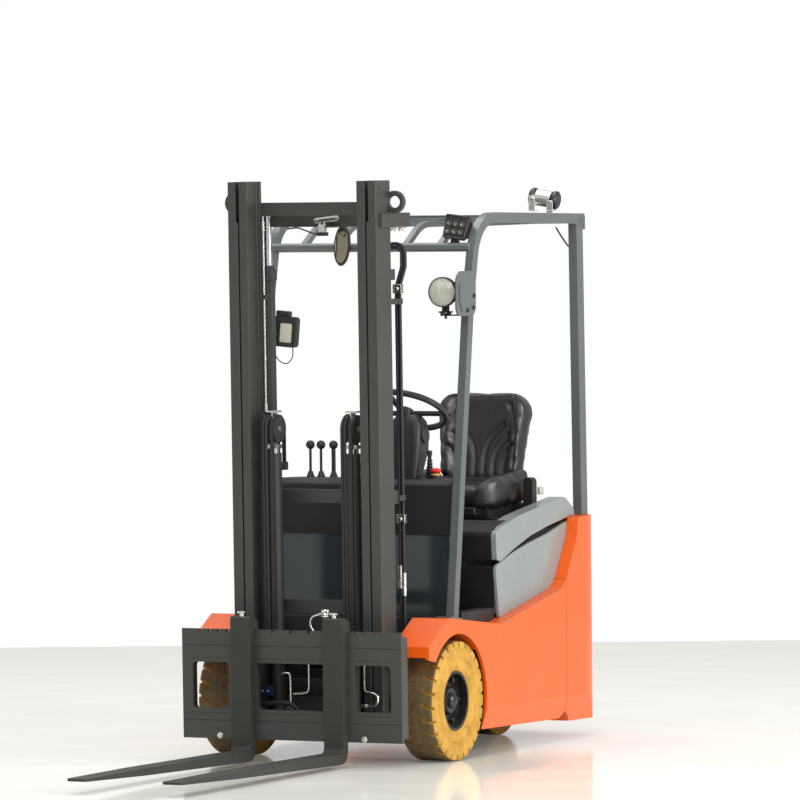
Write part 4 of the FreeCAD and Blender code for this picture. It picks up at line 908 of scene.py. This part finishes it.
def mast_details():
    build = bmesh.new()
    for z in (1756, 901):
        slab(build, Matrix.Translation(mast(284, -41, z)) @ Matrix.Rotation(LEAN, 4, "X"), (0.036, 0.020, 0.034), 0.003)
        hexagon(build, frame_at(mast(284, -51, z), (0, -1, 0)), 0.011, 0.006)
    for dx in (-7, 7):
        place = frame_at(mast(284 + dx, -40, 628 - 2 * dx), (0, 0, 1))
        turned(build, [(0, 0.0068), (0, 0.0088), (0.030, 0.0088), (0.032, 0.0078), (0.036, 0.0078), (0.038, 0.0088),
                       (0.086, 0.0088), (0.086, 0.0068)], place, 20)
    slab(build, Matrix.Translation(mast(266, -4, 1983)), (0.062, 0.030, 0.005), 0.001)
    for x in (250, 282):
        hexagon(build, frame_at(mast(x, -4, 1980.5), (0, 0, -1)), 0.017, 0.012)
    add("mast_clips", to_mesh("mast_clips", build), "mast_stage_outer", ZINC)

    build = bmesh.new()
    arm = upright_frame(-6, -72, 2014, -14) @ Matrix.Rotation(math.radians(6), 4, "Z")
    outline = rounded(0.104, -0.010, 0.010, (0.009, 0.009), 5)
    plate(build, arm, outline, 0.003, 0.0006)
    slab(build, Matrix.Translation(mast(-12, -66, 1980)), (0.026, 0.022, 0.030), 0.002)
    for dx in (-10, 8):
        turned(build, [(0, 0), (0, 0.006), (0.010, 0.006), (0.010, 0)],
               frame_at(mast(-12 + dx, -66, 1995), (0, 0, 1)), 12)
    add("sensor_bracket", to_mesh("sensor_bracket", build), "mast_stage_outer", ZINC)
    build = bmesh.new()
    slab(build, arm @ Matrix.Translation((0.004, 0, 0.0018)), (0.064, 0.005, 0.0006))
    slab(build, Matrix.Translation(mast(-12, -66, 1961)), (0.036, 0.030, 0.014), 0.004)
    slab(build, Matrix.Translation(mast(-12, -38, 1996)), (0.030, 0.050, 0.014), 0.002)
    wire = [(-30, -60, 1962), (-60, -50, 1964), (-105, -34, 1976), (-140, -20, 1984), (-185, -14, 1980)]
    tube(build, smooth_line([tuple(mast(*p)) for p in wire], 6), 0.003, 8)
    # painted shade: thin dark discs on both outer faces of the mast stand in for the shade inside its holes
    for side in (1, -1):
        hole_shade_disc = frame_at(mast(side * 305.8, -236, 2136), (side, 0, 0))
        turned(build, [(0, 0), (0, 0.006), (0.0007, 0.006), (0.0007, 0)], hole_shade_disc, 20)
    add("mast_sensor_and_hole_shade", to_mesh("mast_sensor_and_hole_shade", build), "mast_stage_outer", HOSE)

    # leaf chain beside the stage pipe, seen edge-on
    build = bmesh.new()
    low, high, pitch = 1320, 1806, 19.05
    turn = Matrix(((0, 0, 1, 0), (1, 0, 0, 0), (0, 1, 0, 0), (0, 0, 0, 1)))
    steps = int((high - low) / (pitch / 2))
    for i in range(steps):
        z = low + i * pitch / 2
        link = [(0.0055 * math.cos(a), 0.0055 * math.sin(a) + (pitch / 1000 if math.sin(a) > 0 else 0))
                for a in (2 * math.pi * (k + 0.5) / 12 for k in range(12))]
        for x in ((-6, -2, 2, 6) if i % 2 else (-4, 0, 4)):
            plate(build, Matrix.Translation(mast(-222 + x, -126, z)) @ turn, link, 0.0018)
        tube(build, [mast(-229.5, -126, z), mast(-214.5, -126, z)], 0.0028, 8)
    add("upper_chain", to_mesh("upper_chain", build), "mast_stage_inner", STEEL)
    build = bmesh.new()
    slab(build, Matrix.Translation(mast(-222, -126, 1826)), (0.020, 0.016, 0.034), 0.002)
    add("chain_anchor", to_mesh("chain_anchor", build), "mast_stage_inner", BLUE)


def carriage_details():
    build = bmesh.new()
    routes = (
        ((-96, -296, 336), (-70, -296, 338), (-60, -296, 318), (-60, -296, 206)),
        ((14, -290, 396), (14, -290, 300), (8, -290, 272), (-20, -290, 264), (-52, -290, 262)),
        ((247, -300, 384), (247, -300, 300), (252, -300, 278), (280, -300, 272), (300, -300, 262), (300, -300, 240),
         (284, -300, 228), (262, -300, 226), (236, -300, 226)),
        ((50, -318, 500), (38, -318, 520), (44, -318, 548), (70, -318, 560), (96, -318, 560)),
    )
    for route in routes:
        tube(build, smooth_line([tuple(mast(*p)) for p in route], 6), 0.0042, 10)
    for x, y, z in ((247, -300, 224), (-60, -296, 212), (90, -318, 560)):
        turned(build, [(0, 0), (0, 0.009), (0.020, 0.009), (0.022, 0.007), (0.026, 0.007), (0.026, 0)],
               frame_at(mast(x - 13, y, z), (1, 0, 0)), 6)
    drum = frame_at(mast(106, -330, 549), (0, 0, 1))
    turned(build, [(0, 0), (0, 0.013), (0.006, 0.017), (0.010, 0.015), (0.014, 0.017), (0.018, 0.015), (0.022, 0.017),
                   (0.030, 0.017), (0.032, 0.014), (0.032, 0)], drum, 24)
    add("carriage_pipes", to_mesh("carriage_pipes", build), "lift_carriage", ZINC)
    build = bmesh.new()
    slab(build, Matrix.Translation(mast(-158, -296, 272)), (0.056, 0.024, 0.036), 0.003)
    add("valve_block", to_mesh("valve_block", build), "lift_carriage", BLUE)
    build = bmesh.new()
    for x in (-170, -148):
        turned(build, [(0, 0), (0, 0.0035), (0.002, 0.0035), (0.002, 0)], frame_at(mast(x, -308, 272), (0, -1, 0)), 12)
    add("valve_dots", to_mesh("valve_dots", build), "lift_carriage", BEIGE)
    build = bmesh.new()
    hose = [(-205, -300, 226), (-160, -306, 224), (-110, -308, 228), (-60, -306, 226), (-28, -300, 204),
            (-18, -292, 184)]
    tube(build, smooth_line([tuple(mast(*p)) for p in hose], 6), 0.008, 12)
    add("carriage_hose", to_mesh("carriage_hose", build), "lift_carriage", HOSE)


def fork_details():
    for x, word in ((190, "left"), (-190, "right")):
        build = bmesh.new()
        slab(build, Matrix.Translation(mast(x, -428, 573)) @ Matrix.Rotation(LEAN, 4, "X"), (0.032, 0.016, 0.007), 0.002)
        turned(build, [(0, 0), (0, 0.0088), (0.012, 0.0088), (0.014, 0.006), (0.014, 0)],
               frame_at(mast(x, -428, 557.5), (0, 0, 1)), 20)
        add("fork_pin_" + word, to_mesh("fork_pin_" + word, build), word + "_fork", ZINC)
    build = bmesh.new()
    for z in (447, 168):
        slab(build, Matrix.Translation(mast(0, -408.1, z)) @ Matrix.Rotation(LEAN, 4, "X"), (0.896, 0.0004, 0.003))
    for z, y in ((400, -408.1), (196, -408.1)):
        slab(build, Matrix.Translation(mast(0, y, z)) @ Matrix.Rotation(LEAN, 4, "X"), (0.84, 0.0004, 0.0016))
    add("bar_seams", to_mesh("bar_seams", build), "side_shifter", HOSE)


mast_details()
carriage_details()
fork_details()


# Floor, background and lights

def tone_of(value):
    """A warm white of a brightness."""
    return linear((value, value * 0.99, value * 0.96))


def studio():
    floor = bpy.data.meshes.new("floor")
    azimuth = math.radians(25.87)
    away = Vector((-math.sin(azimuth), math.cos(azimuth), 0))
    across = Vector((away.y, -away.x, 0))
    corners = [across * s * 40 + away * d for s, d in ((-1, -30), (1, -30), (1, 6.4), (-1, 6.4))]
    floor.from_pydata([c + Vector((0, 0, -0.0005)) for c in corners], [], [(0, 1, 2, 3)])
    plane = bpy.data.objects.new("floor", floor)
    bpy.context.scene.collection.objects.link(plane)
    g = Graph("floor_coat")
    tone = g.blend(g.remap(g.noise(0.6, 4), 0.35, 0.65), linear((0.972, 0.966, 0.925)), linear((0.985, 0.98, 0.945)))
    cloudy = g.remap(g.noise(3.0, 4), 0.3, 0.7, 0.07, 0.14)
    waves = g.bump(g.noise(2.5, 2), 0.0004, 0.15)
    plane.data.materials.append(g.finish(tone, cloudy, waves, Emission_Color=tone_of(0.98)))
    seen = g.node("LightPath").outputs["Is Camera Ray"]
    g.link(g.maths("MULTIPLY", seen, 0.08), g.shader.inputs["Emission Strength"])

    world = bpy.data.worlds.new("studio")
    bpy.context.scene.world = world
    world.use_nodes = True
    tree = world.node_tree
    tree.nodes.clear()
    path = tree.nodes.new("ShaderNodeLightPath")
    seen = tree.nodes.new("ShaderNodeMath")
    seen.operation = "MAXIMUM"
    tree.links.new(path.outputs["Is Camera Ray"], seen.inputs[0])
    tree.links.new(path.outputs["Is Transmission Ray"], seen.inputs[1])
    shade = tree.nodes.new("ShaderNodeBackground")
    shade.inputs["Color"].default_value = (1, 1, 1, 1)
    shade.inputs["Strength"].default_value = 0.62
    white = tree.nodes.new("ShaderNodeBackground")
    white.inputs["Color"].default_value = (1, 1, 1, 1)
    white.inputs["Strength"].default_value = 1.0
    mix = tree.nodes.new("ShaderNodeMixShader")
    tree.links.new(seen.outputs[0], mix.inputs[0])
    tree.links.new(shade.outputs[0], mix.inputs[1])
    tree.links.new(white.outputs[0], mix.inputs[2])
    out = tree.nodes.new("ShaderNodeOutputWorld")
    tree.links.new(mix.outputs[0], out.inputs[0])

    for name, spot, size, power in (("key", (2.5, -6.0, 6.0), 4.0, 250), ("top", (-1.0, 1.0, 7.0), 5.0, 260),
                                    ("side", (7.5, -0.5, 3.0), 4.0, 500)):
        data = bpy.data.lights.new(name, "AREA")
        data.shape = "SQUARE"
        data.size = size
        data.energy = power
        lamp = bpy.data.objects.new(name, data)
        bpy.context.scene.collection.objects.link(lamp)
        direction = Vector((0, 0.2, 0.9)) - Vector(spot)
        lamp.matrix_world = Matrix.Translation(spot) @ direction.to_track_quat("-Z", "Y").to_matrix().to_4x4()


studio()
